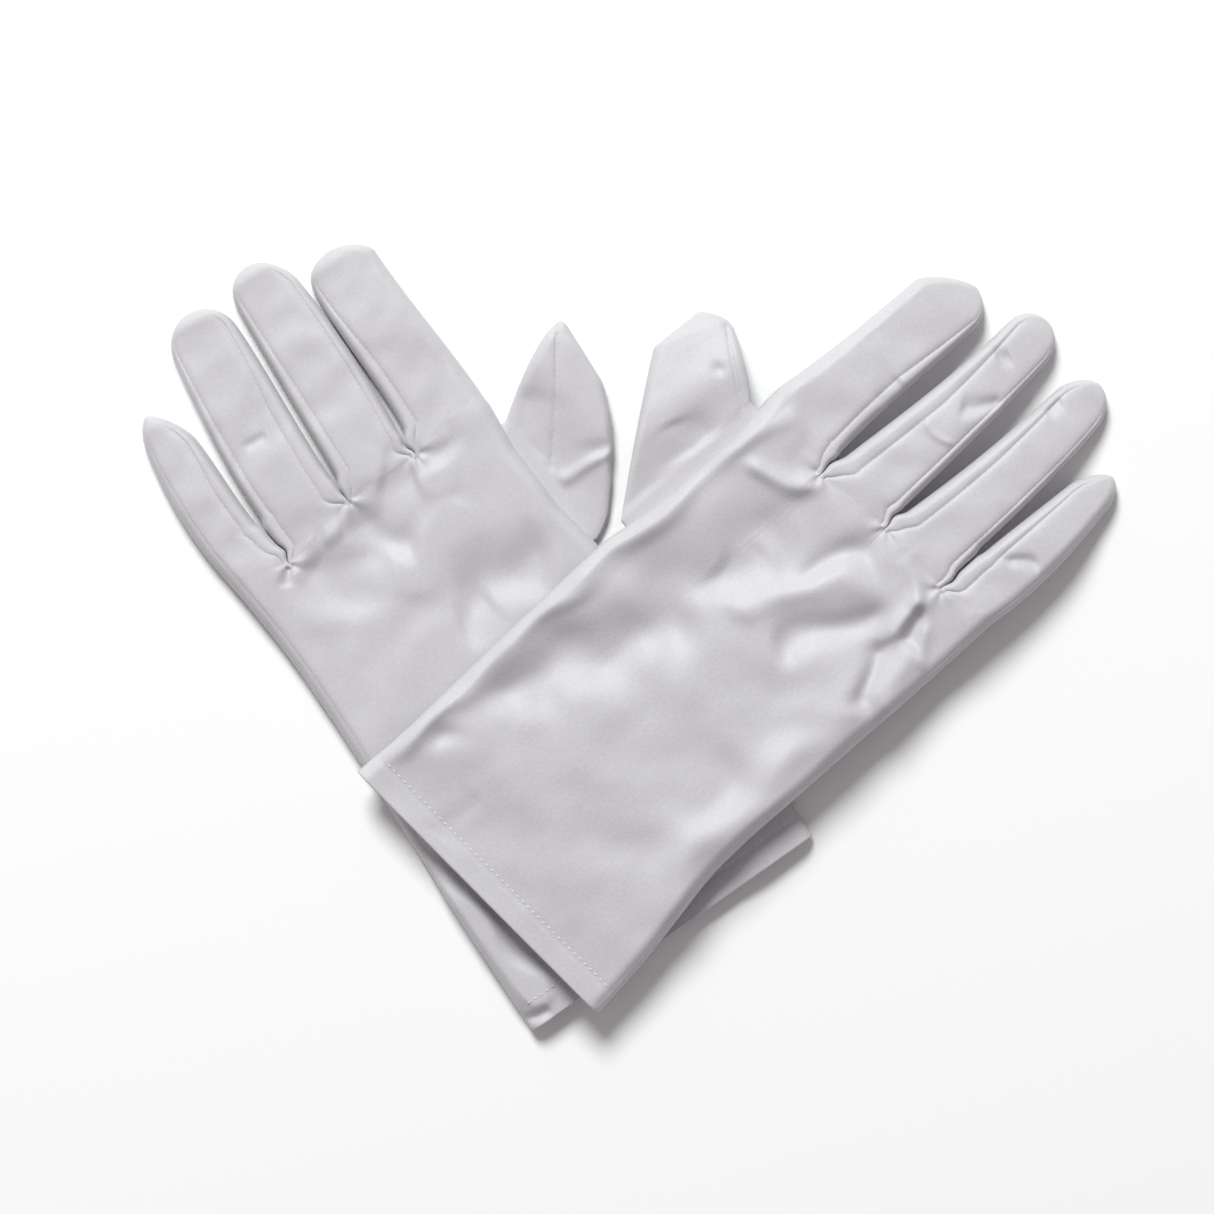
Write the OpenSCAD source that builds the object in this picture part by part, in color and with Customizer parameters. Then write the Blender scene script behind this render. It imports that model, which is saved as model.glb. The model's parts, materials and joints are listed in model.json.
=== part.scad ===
// A pair of plain wrist-length stretch-satin dress gloves, lying flat with both
// backs upwards. The right glove lies across the cuff and palm of the left one.
// Each glove is a hollow cloth shell: one trank (back and palm in one piece, cut
// here at the finger roots), six fourchette strips along the finger sides, a
// thumb, a turned-up hem and the sewing that holds them together.
// Origin: on the table under the middle of the pair, +Z up, millimetres.

/* [Thickness] */
// Height of the flattened hand, from palm to back
hand_h = 7.4; // [6.8:0.1:8]
// Height of the flattened fingers
finger_h = 7.0; // [6.4:0.1:7.4]
// Height of the flattened thumbs
thumb_h = 6.6; // [6.2:0.1:7]
// Thickness of the cloth
wall = 0.7; // [0.5:0.05:0.8]

/* [Hem] */
// Depth of the turned-up hem at the wrist
hem_depth = 7; // [5:0.5:10]
// Thickness of the turned-up layer
hem_wall = 0.5; // [0.4:0.05:0.6]
// Number of stitches in the hem row, on each side of a glove
hem_stitch_count = 15; // [8:1:20]
// Thickness of the sewing thread
thread = 0.2; // [0.16:0.02:0.3]

/* [Clearances] */
// Gap between the hand and each finger that folds
joint_gap = 0.5; // [0.3:0.1:0.8]
// Gap between the two gloves where they cross
stack_gap = 0.5; // [0.4:0.1:2]

/* [Hidden] */

CLOTH = [0.86, 0.86, 0.88];
CLOTH_SIDE = [0.80, 0.79, 0.82];
THREAD = [0.93, 0.93, 0.94];

// Thread stands this far off the cloth, so the two never share a surface
thread_lift = 0.05;
// Middle of the pair's outline, which the origin stands under
pair_middle = [-0.1, 1.5];
// The left glove rests on its lower threads, and the right glove on the left one
left_level = thread + thread_lift;
right_level = left_level + hand_h + 2 * (thread + thread_lift) + stack_gap;

// Places in a digit's record
NAME = 0; LITTLE_EDGE = 1; INDEX_EDGE = 2; CROWN = 3; ROUND = 4;
// Places in a glove's record
LEVEL = 0; FLIP = 1; LITTLE_SIDE = 2; INDEX_SIDE = 3; DIGITS = 4; THUMB = 5; THUMB_START = 6;

// Digits run little, ring, middle, index. Each edge has four points, from the
// root to the level of the tip. CROWN is where across the digit the tip is
// highest, 0 at the little-finger side, and ROUND is how blunt the tip is.
LEFT_DIGITS = [
    ["little", [[-119.5, 18], [-130.5, 32], [-139, 47], [-146, 63.5]],
        [[-104.2, 27.9], [-115.2, 41], [-125, 55.5], [-136.5, 69]], 0.5, 2.2],
    ["ring", [[-103.4, 28.6], [-117, 48], [-128.5, 69.5], [-138.5, 91.5]],
        [[-87, 46.6], [-98.8, 65], [-109.5, 83], [-121.5, 100.5]], 0.5, 2.4],
    ["middle", [[-86.1, 47.6], [-97.5, 66.5], [-109, 86], [-120, 105.5]],
        [[-67.3, 60.3], [-78.4, 79.2], [-91, 97.8], [-104.8, 115]], 0.55, 2.4],
    ["index", [[-66, 60.8], [-76, 77], [-87.2, 93], [-96.6, 110]],
        [[-44, 73.5], [-55.5, 89], [-67.5, 104.5], [-78.5, 120.5]], 0.6, 3]];
RIGHT_DIGITS = [
    ["little", [[106.5, 5], [121, 16.5], [134, 30], [146, 44.5]],
        [[96.4, 19.4], [110, 30.8], [124, 41.5], [137.5, 52.5]], 0.5, 2.4],
    ["ring", [[95.6, 20.4], [112.4, 36], [129, 52.5], [143.5, 69.5]],
        [[80.4, 37.2], [99, 51], [116.5, 65.5], [133.5, 81]], 0.5, 2.6],
    ["middle", [[79.5, 38.2], [96.5, 54.5], [113, 71], [128.5, 88]],
        [[61.4, 52.6], [81, 67.5], [100, 83], [117.5, 100]], 0.5, 2.6],
    ["index", [[60.6, 53.9], [76, 69], [92, 83], [107.5, 97.5]],
        [[44, 74.5], [61, 87], [77.5, 100.5], [93.5, 114]], 0.45, 3]];
LEFT_THUMB = ["thumb", [[-36.5, 65], [-31, 75.5], [-26.5, 85], [-23, 95]],
    [[-12.5, 34.5], [-4.8, 55], [-8, 77], [-17.5, 95]], 0.45, 1.6];
RIGHT_THUMB = ["thumb", [[35.5, 68], [35, 76.5], [32.5, 87], [29, 98]],
    [[-2.5, 35.2], [1, 56], [5, 76.5], [9.5, 97]], 0.6, 2.6];

// Edges of each hand, from the wrist to the finger roots
LEFT_LITTLE_SIDE = [[-29, -115], [-47, -88], [-62, -64], [-79, -37], [-97, -10], [-109, 6],
    [-119.5, 18]];
LEFT_INDEX_SIDE = [[54, -57], [-9, 28], [-44, 73.5]];
RIGHT_LITTLE_SIDE = [[-9, -109], [3, -96], [14, -82], [27, -65], [48, -47], [74, -24], [88, -12],
    [106.5, 5]];
RIGHT_INDEX_SIDE = [[-79.5, -38], [-65.5, -26], [-46.5, -7.5], [-8.5, 28.5], [21, 53.5], [44, 74.5]];

LEFT = [left_level, false, LEFT_LITTLE_SIDE, LEFT_INDEX_SIDE, LEFT_DIGITS, LEFT_THUMB, 0.7];
RIGHT = [right_level, true, RIGHT_LITTLE_SIDE, RIGHT_INDEX_SIDE, RIGHT_DIGITS, RIGHT_THUMB, 0.64];

// Stations along the hand, from wrist to knuckles, and along a digit, root to tip
HAND_STATIONS = [0, 0.045, 0.13, 0.22, 0.32, 0.42, 0.53, 0.64, 0.7, 0.78, 0.86, 0.93, 1];
DIGIT_STATIONS = [0, 0.1, 0.22, 0.36, 0.5, 0.63, 0.75, 0.84, 0.91, 0.96, 0.99];
thumb_end = 0.93;
tip_start = 0.8;
digit_sides = 20;
// Height of a digit's very tip as a share of its root, and how much it slims on the way
tip_share = 0.45;
slimming = 0.12;
// How late along a raised digit its fall to the table comes: 1 is a straight slope
droop = 1.7;
// Fourchettes fill this many sides each way from the side line, for this many stations
window_half = 3;
window_rings = 7;
// How square the section of a digit is: 1 is an ellipse, smaller is squarer
squareness = 0.62;
// Rounding of the hand's two long edges
edge_r = 4;
EDGE_ANGLES = [0, 30, 60];
// Where the hand's extra columns stand: a share of the way across the little
// finger, across each next finger, and twice across the index finger
little_column = 0.55;
inner_column = 1/3;
INDEX_COLUMNS = [0.6, 0.82];
// Share of the hand's width left clear at each end of the hem's row of stitches
row_margin = 0.055;
// The hem's inner layer hangs this far inside the cloth, and its row of
// stitches runs this far short of the layer's edge
hem_gap = 0.1;
row_inset = 0.5;
// The turned-in allowance of the side seam, and its gap to the glove's edge
allowance_w = 3;
allowance_h = 0.5;
allowance_gap = 0.15;
// The sewn end of two fourchettes between two fingers
crotch_l = 5;
crotch_w = 1.2;
crotch_gap = 0.1;

function lerp(a, b, f) = a + (b - a) * f;
function arc_lengths(p, i = 0, sum = 0) =
    i == len(p) - 1 ? [sum] : concat([sum], arc_lengths(p, i + 1, sum + norm(p[i + 1] - p[i])));
function span_of(lengths, d, i = 0) =
    i >= len(lengths) - 2 || d <= lengths[i + 1] ? i : span_of(lengths, d, i + 1);
// The point a fraction f of the way along a line of points
function along(p, f) =
    let (lengths = arc_lengths(p), d = f * lengths[len(p) - 1], i = span_of(lengths, d))
    lerp(p[i], p[i + 1], (d - lengths[i]) / (lengths[i + 1] - lengths[i]));
// A smooth digit edge through four points, at f = 0, 1/3, 2/3 and 1
function through4(p, f) = -pair_middle +
    p[0] * (-4.5 * (f - 1/3) * (f - 2/3) * (f - 1)) + p[1] * (13.5 * f * (f - 2/3) * (f - 1))
    + p[2] * (-13.5 * f * (f - 1/3) * (f - 1)) + p[3] * (4.5 * f * (f - 1/3) * (f - 2/3));
function signed_power(v, e) = sign(v) * pow(abs(v), e);

// Knuckle line of a hand, little side first, one gap short of the finger roots
function back_off(d, p) = let (dir = d[LITTLE_EDGE][1] - d[LITTLE_EDGE][0]) p - dir / norm(dir) * joint_gap;
function knuckles(g) = [for (d = g[DIGITS]) each
    [back_off(d, d[LITTLE_EDGE][0]), back_off(d, d[INDEX_EDGE][0])]];

// A point of the hand's flat outline: s across from the little side, t from the wrist
function hand_plan(g, s, t) =
    let (k = knuckles(g), a = g[LITTLE_SIDE], b = g[INDEX_SIDE],
        wrist = lerp(a[0], b[0], s), top = along(k, s),
        a_end = k[0], b_end = k[len(k) - 1])
    lerp(wrist, top, t)
        + (along(a, t) + (a_end - a[len(a) - 1]) * t - lerp(a[0], a_end, t)) * (1 - s)
        + (along(b, t) + (b_end - b[len(b) - 1]) * t - lerp(b[0], b_end, t)) * s - pair_middle;
function hand_width(g, t) = norm(hand_plan(g, 1, t) - hand_plan(g, 0, t));

// Columns across the hand between its rounded edges: each finger root, and
// points between its two ends
function root_fractions(g) =
    let (k = knuckles(g), lengths = arc_lengths(k)) lengths / lengths[len(k) - 1];
function columns(g) =
    let (f = root_fractions(g))
    concat([f[1] * little_column], [for (i = [0:2]) each [f[2 * i + 1], f[2 * i + 2],
        lerp(f[2 * i + 2], f[2 * i + 3], inner_column)]], [for (c = INDEX_COLUMNS) lerp(f[6], 1, c)]);
function fine_columns(n) = [for (i = [1:n]) row_margin + (1 - 2 * row_margin) * (i - 0.5) / n];

// One ring round the hand, off millimetres under its outer face. It starts at
// the index side, crosses the back and returns over the palm.
function hand_ring(g, t, off, cols) =
    let (w = hand_width(g, t), z0 = g[LEVEL] + hand_h / 2, half = hand_h / 2 - off,
        edge = [for (a = EDGE_ANGLES) [(off + (edge_r - off) * (1 - cos(a))) / w, half * sin(a)]],
        n = len(cols), m = len(edge),
        back = concat([for (e = edge) [1 - e[0], e[1]]],
            [for (i = [n - 1:-1:0]) [cols[i], half]],
            [for (i = [m - 1:-1:0]) [edge[i][0], edge[i][1]]]),
        loop = concat(back, [for (i = [len(back) - 2:-1:1]) [back[i][0], -back[i][1]]]))
    [for (q = loop) let (p = hand_plan(g, q[0], t)) [p[0], p[1], z0 + q[1]]];

// One ring round a digit. Its lower face falls from the glove's level at the
// root to the table at the tip.
function tip_taper(d, t) =
    t <= tip_start ? 1 : pow(1 - pow((t - tip_start) / (1 - tip_start), d[ROUND]), 1 / d[ROUND]);
function digit_ring(g, d, h, t, off) =
    let (a = through4(d[LITTLE_EDGE], t), b = through4(d[INDEX_EDGE], t), f = tip_taper(d, t),
        w = norm(b - a) * f, high = h * (tip_share + (1 - tip_share) * f) * (1 - slimming * t),
        low = lerp(g[LEVEL], left_level, pow(t, droop)),
        inset = 1 - 2 * off / w, middle = d[CROWN] + (0.5 - d[CROWN]) * f)
    [for (i = [0:digit_sides - 1])
        let (phi = 360 * i / digit_sides,
            q = middle + 0.5 * f * inset * signed_power(cos(phi), squareness),
            p = lerp(a, b, q))
        [p[0], p[1], low + high / 2 + (high / 2 - off) * signed_power(sin(phi), squareness)]];
function digit_grid(g, d, h, off) = [for (t = DIGIT_STATIONS) digit_ring(g, d, h, t, off)];
// The point that closes a digit's tip, off millimetres inside its outer face
function digit_tip(g, d, h, off) =
    let (p = lerp(through4(d[LITTLE_EDGE], 1), through4(d[INDEX_EDGE], 1), d[CROWN]),
        root = lerp(through4(d[LITTLE_EDGE], 0.7), through4(d[INDEX_EDGE], 0.7), d[CROWN]),
        q = p - (p - root) / norm(p - root) * off)
    [q[0], q[1], left_level + h * tip_share * (1 - slimming) / 2];

// Faces of a patchwork shell. Outer and inner grids have the same rings; cells
// for which keep(ring, side) is false are left out, and every open edge is
// closed by a wall between the grids.
function cell(i, j, n) = [i * n + j, i * n + (j + 1) % n, (i + 1) * n + (j + 1) % n, (i + 1) * n + j];
function wall_faces(p, q, m) =
    p < q ? [[q, p, p + m], [q, p + m, q + m]] : [[q, p, q + m], [p, p + m, q + m]];
function shell_faces(rings, n, keep, capped) =
    let (m = rings * n + (capped ? 1 : 0), last = rings - 2,
        kept = function (i, j) i >= 0 && i <= last && keep(i, (j + n) % n))
    [for (i = [0:last], j = [0:n - 1]) if (keep(i, j))
        let (c = cell(i, j, n))
        each concat([[c[0], c[1], c[2]], [c[0], c[2], c[3]],
                [c[2] + m, c[1] + m, c[0] + m], [c[3] + m, c[2] + m, c[0] + m]],
            kept(i - 1, j) ? [] : wall_faces(c[0], c[1], m),
            kept(i + 1, j) || (capped && i == last) ? [] : wall_faces(c[2], c[3], m),
            kept(i, j - 1) ? [] : wall_faces(c[3], c[0], m),
            kept(i, j + 1) ? [] : wall_faces(c[1], c[2], m),
            capped && i == last ? [[c[3], c[2], rings * n], [c[2] + m, c[3] + m, rings * n + m]] : [])];
function turned(faces, flip) = flip ? [for (f = faces) [f[2], f[1], f[0]]] : faces;
module shell(outer, inner, keep, flip, outer_tip = undef, inner_tip = undef) {
    capped = !is_undef(outer_tip);
    flat_outer = [for (r = outer) each r];
    flat_inner = [for (r = inner) each r];
    points = concat(flat_outer, capped ? [outer_tip] : [], flat_inner, capped ? [inner_tip] : []);
    polyhedron(points, turned(shell_faces(len(outer), len(outer[0]), keep, capped), flip));
}
// A solid swept through rings of points, closed at both ends
module loft(rings, flip) {
    n = len(rings[0]);
    last = len(rings) - 1;
    sides = [for (i = [0:last - 1], j = [0:n - 1]) let (c = cell(i, j, n))
        each [[c[0], c[1], c[2]], [c[0], c[2], c[3]]]];
    ends = [for (j = [1:n - 2]) each [[0, j + 1, j], [last * n, last * n + j, last * n + j + 1]]];
    polyhedron([for (r = rings) each r], turned(concat(sides, ends), flip));
}
// Which sides of a digit its fourchettes fill: index side, then little side
function on_index_side(j) = j < window_half || j >= digit_sides - window_half;
function on_little_side(j) = abs(j + 0.5 - digit_sides / 2) < window_half;
function has_index_side(k) = k < 3;
function has_little_side(k) = k > 0;
function in_window(k, i, j) = i < window_rings
    && ((has_index_side(k) && on_index_side(j)) || (has_little_side(k) && on_little_side(j)));

module hand(g) {
    cols = columns(g);
    count = 2 * (len(cols) + 2 * len(EDGE_ANGLES)) - 2;
    edge = len(EDGE_ANGLES) - 1;
    start = g[THUMB_START];
    // The thumb opens out of the index edge between these stations
    thumb_hole = function (i, j) HAND_STATIONS[i] >= start && HAND_STATIONS[i + 1] <= thumb_end
        && (j < edge || j >= count - edge);
    color(CLOTH) shell([for (t = HAND_STATIONS) hand_ring(g, t, 0, cols)],
        [for (t = HAND_STATIONS) hand_ring(g, t, wall, cols)],
        function (i, j) !thumb_hole(i, j), g[FLIP]);
}
module hem(g) {
    cols = columns(g);
    depth = hem_depth / norm(g[LITTLE_SIDE][0] - g[DIGITS][0][LITTLE_EDGE][0]);
    stations = [0.001, depth];
    color(CLOTH) shell([for (t = stations) hand_ring(g, t, wall + hem_gap, cols)],
        [for (t = stations) hand_ring(g, t, wall + hem_gap + hem_wall, cols)],
        function (i, j) true, g[FLIP]);
}
module hem_stitches(g) {
    length = norm(g[LITTLE_SIDE][0] - g[DIGITS][0][LITTLE_EDGE][0]);
    at = (hem_depth - row_inset) / length;
    cols = fine_columns(2 * hem_stitch_count);
    first = len(EDGE_ANGLES);
    around = 2 * (len(cols) + 2 * first) - 2;
    low = [for (t = [at, at + thread / length]) hand_ring(g, t, -thread_lift, cols)];
    high = [for (t = [at, at + thread / length]) hand_ring(g, t, -thread_lift - thread, cols)];
    color(THREAD) for (i = [0:hem_stitch_count - 1], side = [0, 1]) {
        j = side == 0 ? first + 2 * i : around - first - 2 * i - 1;
        step = side == 0 ? 1 : -1;
        loft([for (k = [j, j + step]) [low[0][k], high[0][k], high[1][k], low[1][k]]],
            (side == 1) == g[FLIP]);
    }
}
module side_seam(g) {
    // The allowance of the seam that joins back and palm, turned inwards
    near = wall + allowance_gap;
    far = near + allowance_w;
    half = allowance_h / 2;
    z0 = g[LEVEL] + hand_h / 2;
    color(CLOTH_SIDE) loft([for (t = [for (t = HAND_STATIONS) if (t > 0.1 && t < 0.97) t])
        let (w = hand_width(g, t), p = hand_plan(g, near / w, t), q = hand_plan(g, far / w, t))
        [[p[0], p[1], z0 - half], [q[0], q[1], z0 - half],
            [q[0], q[1], z0 + half], [p[0], p[1], z0 + half]]], !g[FLIP]);
}
module finger(g, k) {
    d = g[DIGITS][k];
    color(CLOTH) shell(digit_grid(g, d, finger_h, 0), digit_grid(g, d, finger_h, wall),
        function (i, j) !in_window(k, i, j), g[FLIP],
        digit_tip(g, d, finger_h, 0), digit_tip(g, d, finger_h, wall));
}
module fourchette(g, k, index_side) {
    d = g[DIGITS][k];
    color(CLOTH_SIDE) shell(digit_grid(g, d, finger_h, 0), digit_grid(g, d, finger_h, wall),
        function (i, j) i < window_rings && (index_side ? on_index_side(j) : on_little_side(j)),
        g[FLIP]);
}
module seam_line(g, d, h, j, rings) {
    // One line of sewing thread along side j of a digit
    outer = digit_grid(g, d, h, -thread_lift - thread / 2);
    across = (d[INDEX_EDGE][0] - d[LITTLE_EDGE][0]) / norm(d[INDEX_EDGE][0] - d[LITTLE_EDGE][0]);
    r = thread / 2;
    loft([for (i = rings) let (p = outer[i][j], x = [across[0] * r, across[1] * r, 0], z = [0, 0, r])
        [p - x, p - z, p + x, p + z]], !g[FLIP]);
}
module seam_thread(g, k) {
    d = g[DIGITS][k];
    half = digit_sides / 2;
    lines = concat(has_index_side(k) ? [window_half, digit_sides - window_half] : [],
        has_little_side(k) ? [half - window_half, half + window_half] : []);
    color(THREAD) for (j = lines) seam_line(g, d, finger_h, j, [0:window_rings]);
}
module thumb(g) {
    d = g[THUMB];
    color(CLOTH) shell(digit_grid(g, d, thumb_h, 0), digit_grid(g, d, thumb_h, wall),
        function (i, j) true, g[FLIP], digit_tip(g, d, thumb_h, 0), digit_tip(g, d, thumb_h, wall));
}
module thumb_seam_thread(g) {
    color(THREAD) seam_line(g, g[THUMB], thumb_h, digit_sides / 4, [1:8]);
}
module crotch_join(g, k) {
    // Where two fourchettes are sewn to each other between fingers k and k + 1
    p = (g[DIGITS][k][INDEX_EDGE][0] + g[DIGITS][k + 1][LITTLE_EDGE][0]) / 2;
    dir = (g[DIGITS][k][INDEX_EDGE][1] - g[DIGITS][k][INDEX_EDGE][0]);
    height = hand_h - 2 * wall - 2 * crotch_gap;
    color(CLOTH_SIDE) translate([p[0] - pair_middle[0], p[1] - pair_middle[1], g[LEVEL] + hand_h / 2])
        rotate([0, 0, atan2(dir[1], dir[0])])
            translate([-crotch_l - joint_gap - crotch_w / 2, -crotch_w / 2, -height / 2])
                cube([crotch_l, crotch_w, height]);
}

hand(LEFT);  // left_hand
hem(LEFT);  // left_hem
hem_stitches(LEFT);  // left_hem_stitches
side_seam(LEFT);  // left_side_seam
finger(LEFT, 3);  // left_index_finger
finger(LEFT, 2);  // left_middle_finger
finger(LEFT, 1);  // left_ring_finger
finger(LEFT, 0);  // left_little_finger
fourchette(LEFT, 3, false);  // left_index_fourchette
fourchette(LEFT, 2, false);  // left_middle_fourchette_outer
fourchette(LEFT, 2, true);  // left_middle_fourchette_inner
fourchette(LEFT, 1, false);  // left_ring_fourchette_outer
fourchette(LEFT, 1, true);  // left_ring_fourchette_inner
fourchette(LEFT, 0, true);  // left_little_fourchette
crotch_join(LEFT, 2);  // left_crotch_index_middle
crotch_join(LEFT, 1);  // left_crotch_middle_ring
crotch_join(LEFT, 0);  // left_crotch_ring_little
seam_thread(LEFT, 3);  // left_index_seam_thread
seam_thread(LEFT, 2);  // left_middle_seam_thread
seam_thread(LEFT, 1);  // left_ring_seam_thread
seam_thread(LEFT, 0);  // left_little_seam_thread
thumb(LEFT);  // left_thumb
thumb_seam_thread(LEFT);  // left_thumb_seam_thread
hand(RIGHT);  // right_hand
hem(RIGHT);  // right_hem
hem_stitches(RIGHT);  // right_hem_stitches
side_seam(RIGHT);  // right_side_seam
finger(RIGHT, 3);  // right_index_finger
finger(RIGHT, 2);  // right_middle_finger
finger(RIGHT, 1);  // right_ring_finger
finger(RIGHT, 0);  // right_little_finger
fourchette(RIGHT, 3, false);  // right_index_fourchette
fourchette(RIGHT, 2, false);  // right_middle_fourchette_outer
fourchette(RIGHT, 2, true);  // right_middle_fourchette_inner
fourchette(RIGHT, 1, false);  // right_ring_fourchette_outer
fourchette(RIGHT, 1, true);  // right_ring_fourchette_inner
fourchette(RIGHT, 0, true);  // right_little_fourchette
crotch_join(RIGHT, 2);  // right_crotch_index_middle
crotch_join(RIGHT, 1);  // right_crotch_middle_ring
crotch_join(RIGHT, 0);  // right_crotch_ring_little
seam_thread(RIGHT, 3);  // right_index_seam_thread
seam_thread(RIGHT, 2);  // right_middle_seam_thread
seam_thread(RIGHT, 1);  // right_ring_seam_thread
seam_thread(RIGHT, 0);  // right_little_seam_thread
thumb(RIGHT);  // right_thumb
thumb_seam_thread(RIGHT);  // right_thumb_seam_thread
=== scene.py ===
"""A pair of white satin dress gloves, laid flat and crossed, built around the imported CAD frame.

Every length below is in millimetres until a mesh is made. "a" is the little-finger
side of a glove or digit and "b" the index side; u runs along a digit and v across it.
"""
import json
import math
import bpy
import numpy as np
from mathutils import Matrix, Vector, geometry


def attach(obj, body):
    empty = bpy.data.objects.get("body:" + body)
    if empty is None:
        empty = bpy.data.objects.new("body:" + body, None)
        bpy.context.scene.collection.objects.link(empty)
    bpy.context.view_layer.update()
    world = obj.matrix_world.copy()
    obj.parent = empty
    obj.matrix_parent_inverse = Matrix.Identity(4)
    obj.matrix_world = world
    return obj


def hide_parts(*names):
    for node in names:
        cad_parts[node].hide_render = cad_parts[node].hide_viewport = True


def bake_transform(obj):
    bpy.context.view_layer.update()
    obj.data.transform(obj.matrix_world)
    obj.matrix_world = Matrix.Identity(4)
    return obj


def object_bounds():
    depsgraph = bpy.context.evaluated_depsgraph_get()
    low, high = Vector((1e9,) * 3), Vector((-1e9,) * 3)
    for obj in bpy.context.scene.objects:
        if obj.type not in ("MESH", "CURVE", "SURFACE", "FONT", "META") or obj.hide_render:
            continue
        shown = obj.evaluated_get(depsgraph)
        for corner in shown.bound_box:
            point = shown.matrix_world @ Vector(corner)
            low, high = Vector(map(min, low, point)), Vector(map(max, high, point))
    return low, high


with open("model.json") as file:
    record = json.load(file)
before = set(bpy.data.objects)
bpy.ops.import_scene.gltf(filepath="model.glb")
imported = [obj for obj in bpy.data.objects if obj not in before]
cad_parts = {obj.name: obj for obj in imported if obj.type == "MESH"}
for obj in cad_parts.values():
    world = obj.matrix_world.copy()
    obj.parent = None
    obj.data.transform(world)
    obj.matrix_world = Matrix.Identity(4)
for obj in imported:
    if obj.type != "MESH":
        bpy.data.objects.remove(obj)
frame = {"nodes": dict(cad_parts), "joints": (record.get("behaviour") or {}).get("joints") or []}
cad_low, cad_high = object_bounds()

MM = 0.001
GLOVES = ("left", "right")
FINGERS = ("little", "ring", "middle", "index")
JOINTS = {j["name"]: j for j in frame["joints"]}

CLOTH = 0.45            # thickness of the satin
HEM_DEPTH = 7.0         # turned-up hem at the wrist
HEM_ROLL = 0.55         # radius of the fold at the wrist edge
FLOOR_GAP = 0.12        # the cloth never comes nearer the table than this
U_DEPTH = 8.0           # the seams of neighbouring fingers meet in a U this deep
U_TURN = 1.7            # at the bottom of the U the seam passes this far round the end of the slit
GUSSET = 6.0            # length of the small gusset's walls along each finger
ROOT_BACK = 6.3         # the bottom of the U lies this far back from the bottom of the gap
CLEARANCE = 0.4         # least gap between neighbouring fingers
EDGE_LEVEL = 0.3        # the folded edges lie this far up the thickness of a hand or finger
TIP_MORE = 0.8          # the satin outreaches the CAD's fingertips by this much
GROOVE, CREASE = (0.28, 1.2), (0.26, 0.34)   # a sewn seam's dip and the crease in it: depth, half-width
SINGLE_SEAM, THUMB_DIP = 0.6, 1.3            # depth of an outer edge's seam and a thumb's, against those
WANDER = (1.5, 18, 60)  # how far the folds wander off their strokes, over what shortest and longest wave
SLACK = ((0.2, 28, 90), (0.02, 8, 20))       # undulation of slack satin: height, shortest and longest wave
FOLD_DEPTH = 1.35       # every fold is this much deeper than its stroke says
FOLD_FADE = 0.22        # part of a stroke's length over which each end fades
PLEAT, PLEATS, PLEAT_REACH = 0.55, 5, 7      # small folds that fan out into the hand from each gusset
TUCK = 5.0              # how far a thumb's cut edge runs in under the hand
HEM_PROUD = 0.1         # the hem band stands this proud of the hand
HEM_PULL, HEM_ROW = 0.2, 0.4                 # its stitches pull a groove this deep, this far down the band

# How the tips are cut: crown across the digit from side a, then for each side the
# length of the taper and its roundness (1 is straight, with a fold's sharp corner)
TIPS = {
    "left_little": (0.38, 9, 2.1, 14, 1.7),
    "left_ring": (0.5, 10, 2.1, 10, 2.1),
    "left_middle": (0.5, 9, 2.3, 12, 1.9),
    "left_index": (0.48, 8, 2.6, 7.4, 1.6),
    "right_little": (0.42, 8, 2.2, 12, 1.7),
    "right_ring": (0.48, 9, 2.1, 11, 1.8),
    "right_middle": (0.47, 9, 2.1, 9, 2.1),
    "right_index": (0.4, 8, 2, 12, 1.35),
}
# How far in from each edge the seams show: side a at root, middle and tip, then side b
SEAMS = {
    "left_little": ((3.0, 3.0, 1.2), (4.0, 4.5, 1.6)),
    "left_ring": ((3.6, 3.2, 1.4), (5.6, 5.0, 2.0)),
    "left_middle": ((4.6, 3.4, 1.4), (3.6, 3.2, 2.0)),
    "left_index": ((4.4, 3.8, 1.0), (3.2, 3.2, 2.6)),
    "right_little": ((1.8, 1.8, 1.2), (5.0, 3.4, 1.6)),
    "right_ring": ((2.4, 2.2, 1.4), (5.6, 4.2, 1.8)),
    "right_middle": ((2.8, 2.6, 1.4), (5.8, 5.2, 2.0)),
    "right_index": ((3.8, 4.2, 1.4), (3.6, 3.6, 3.0)),
}
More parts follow.
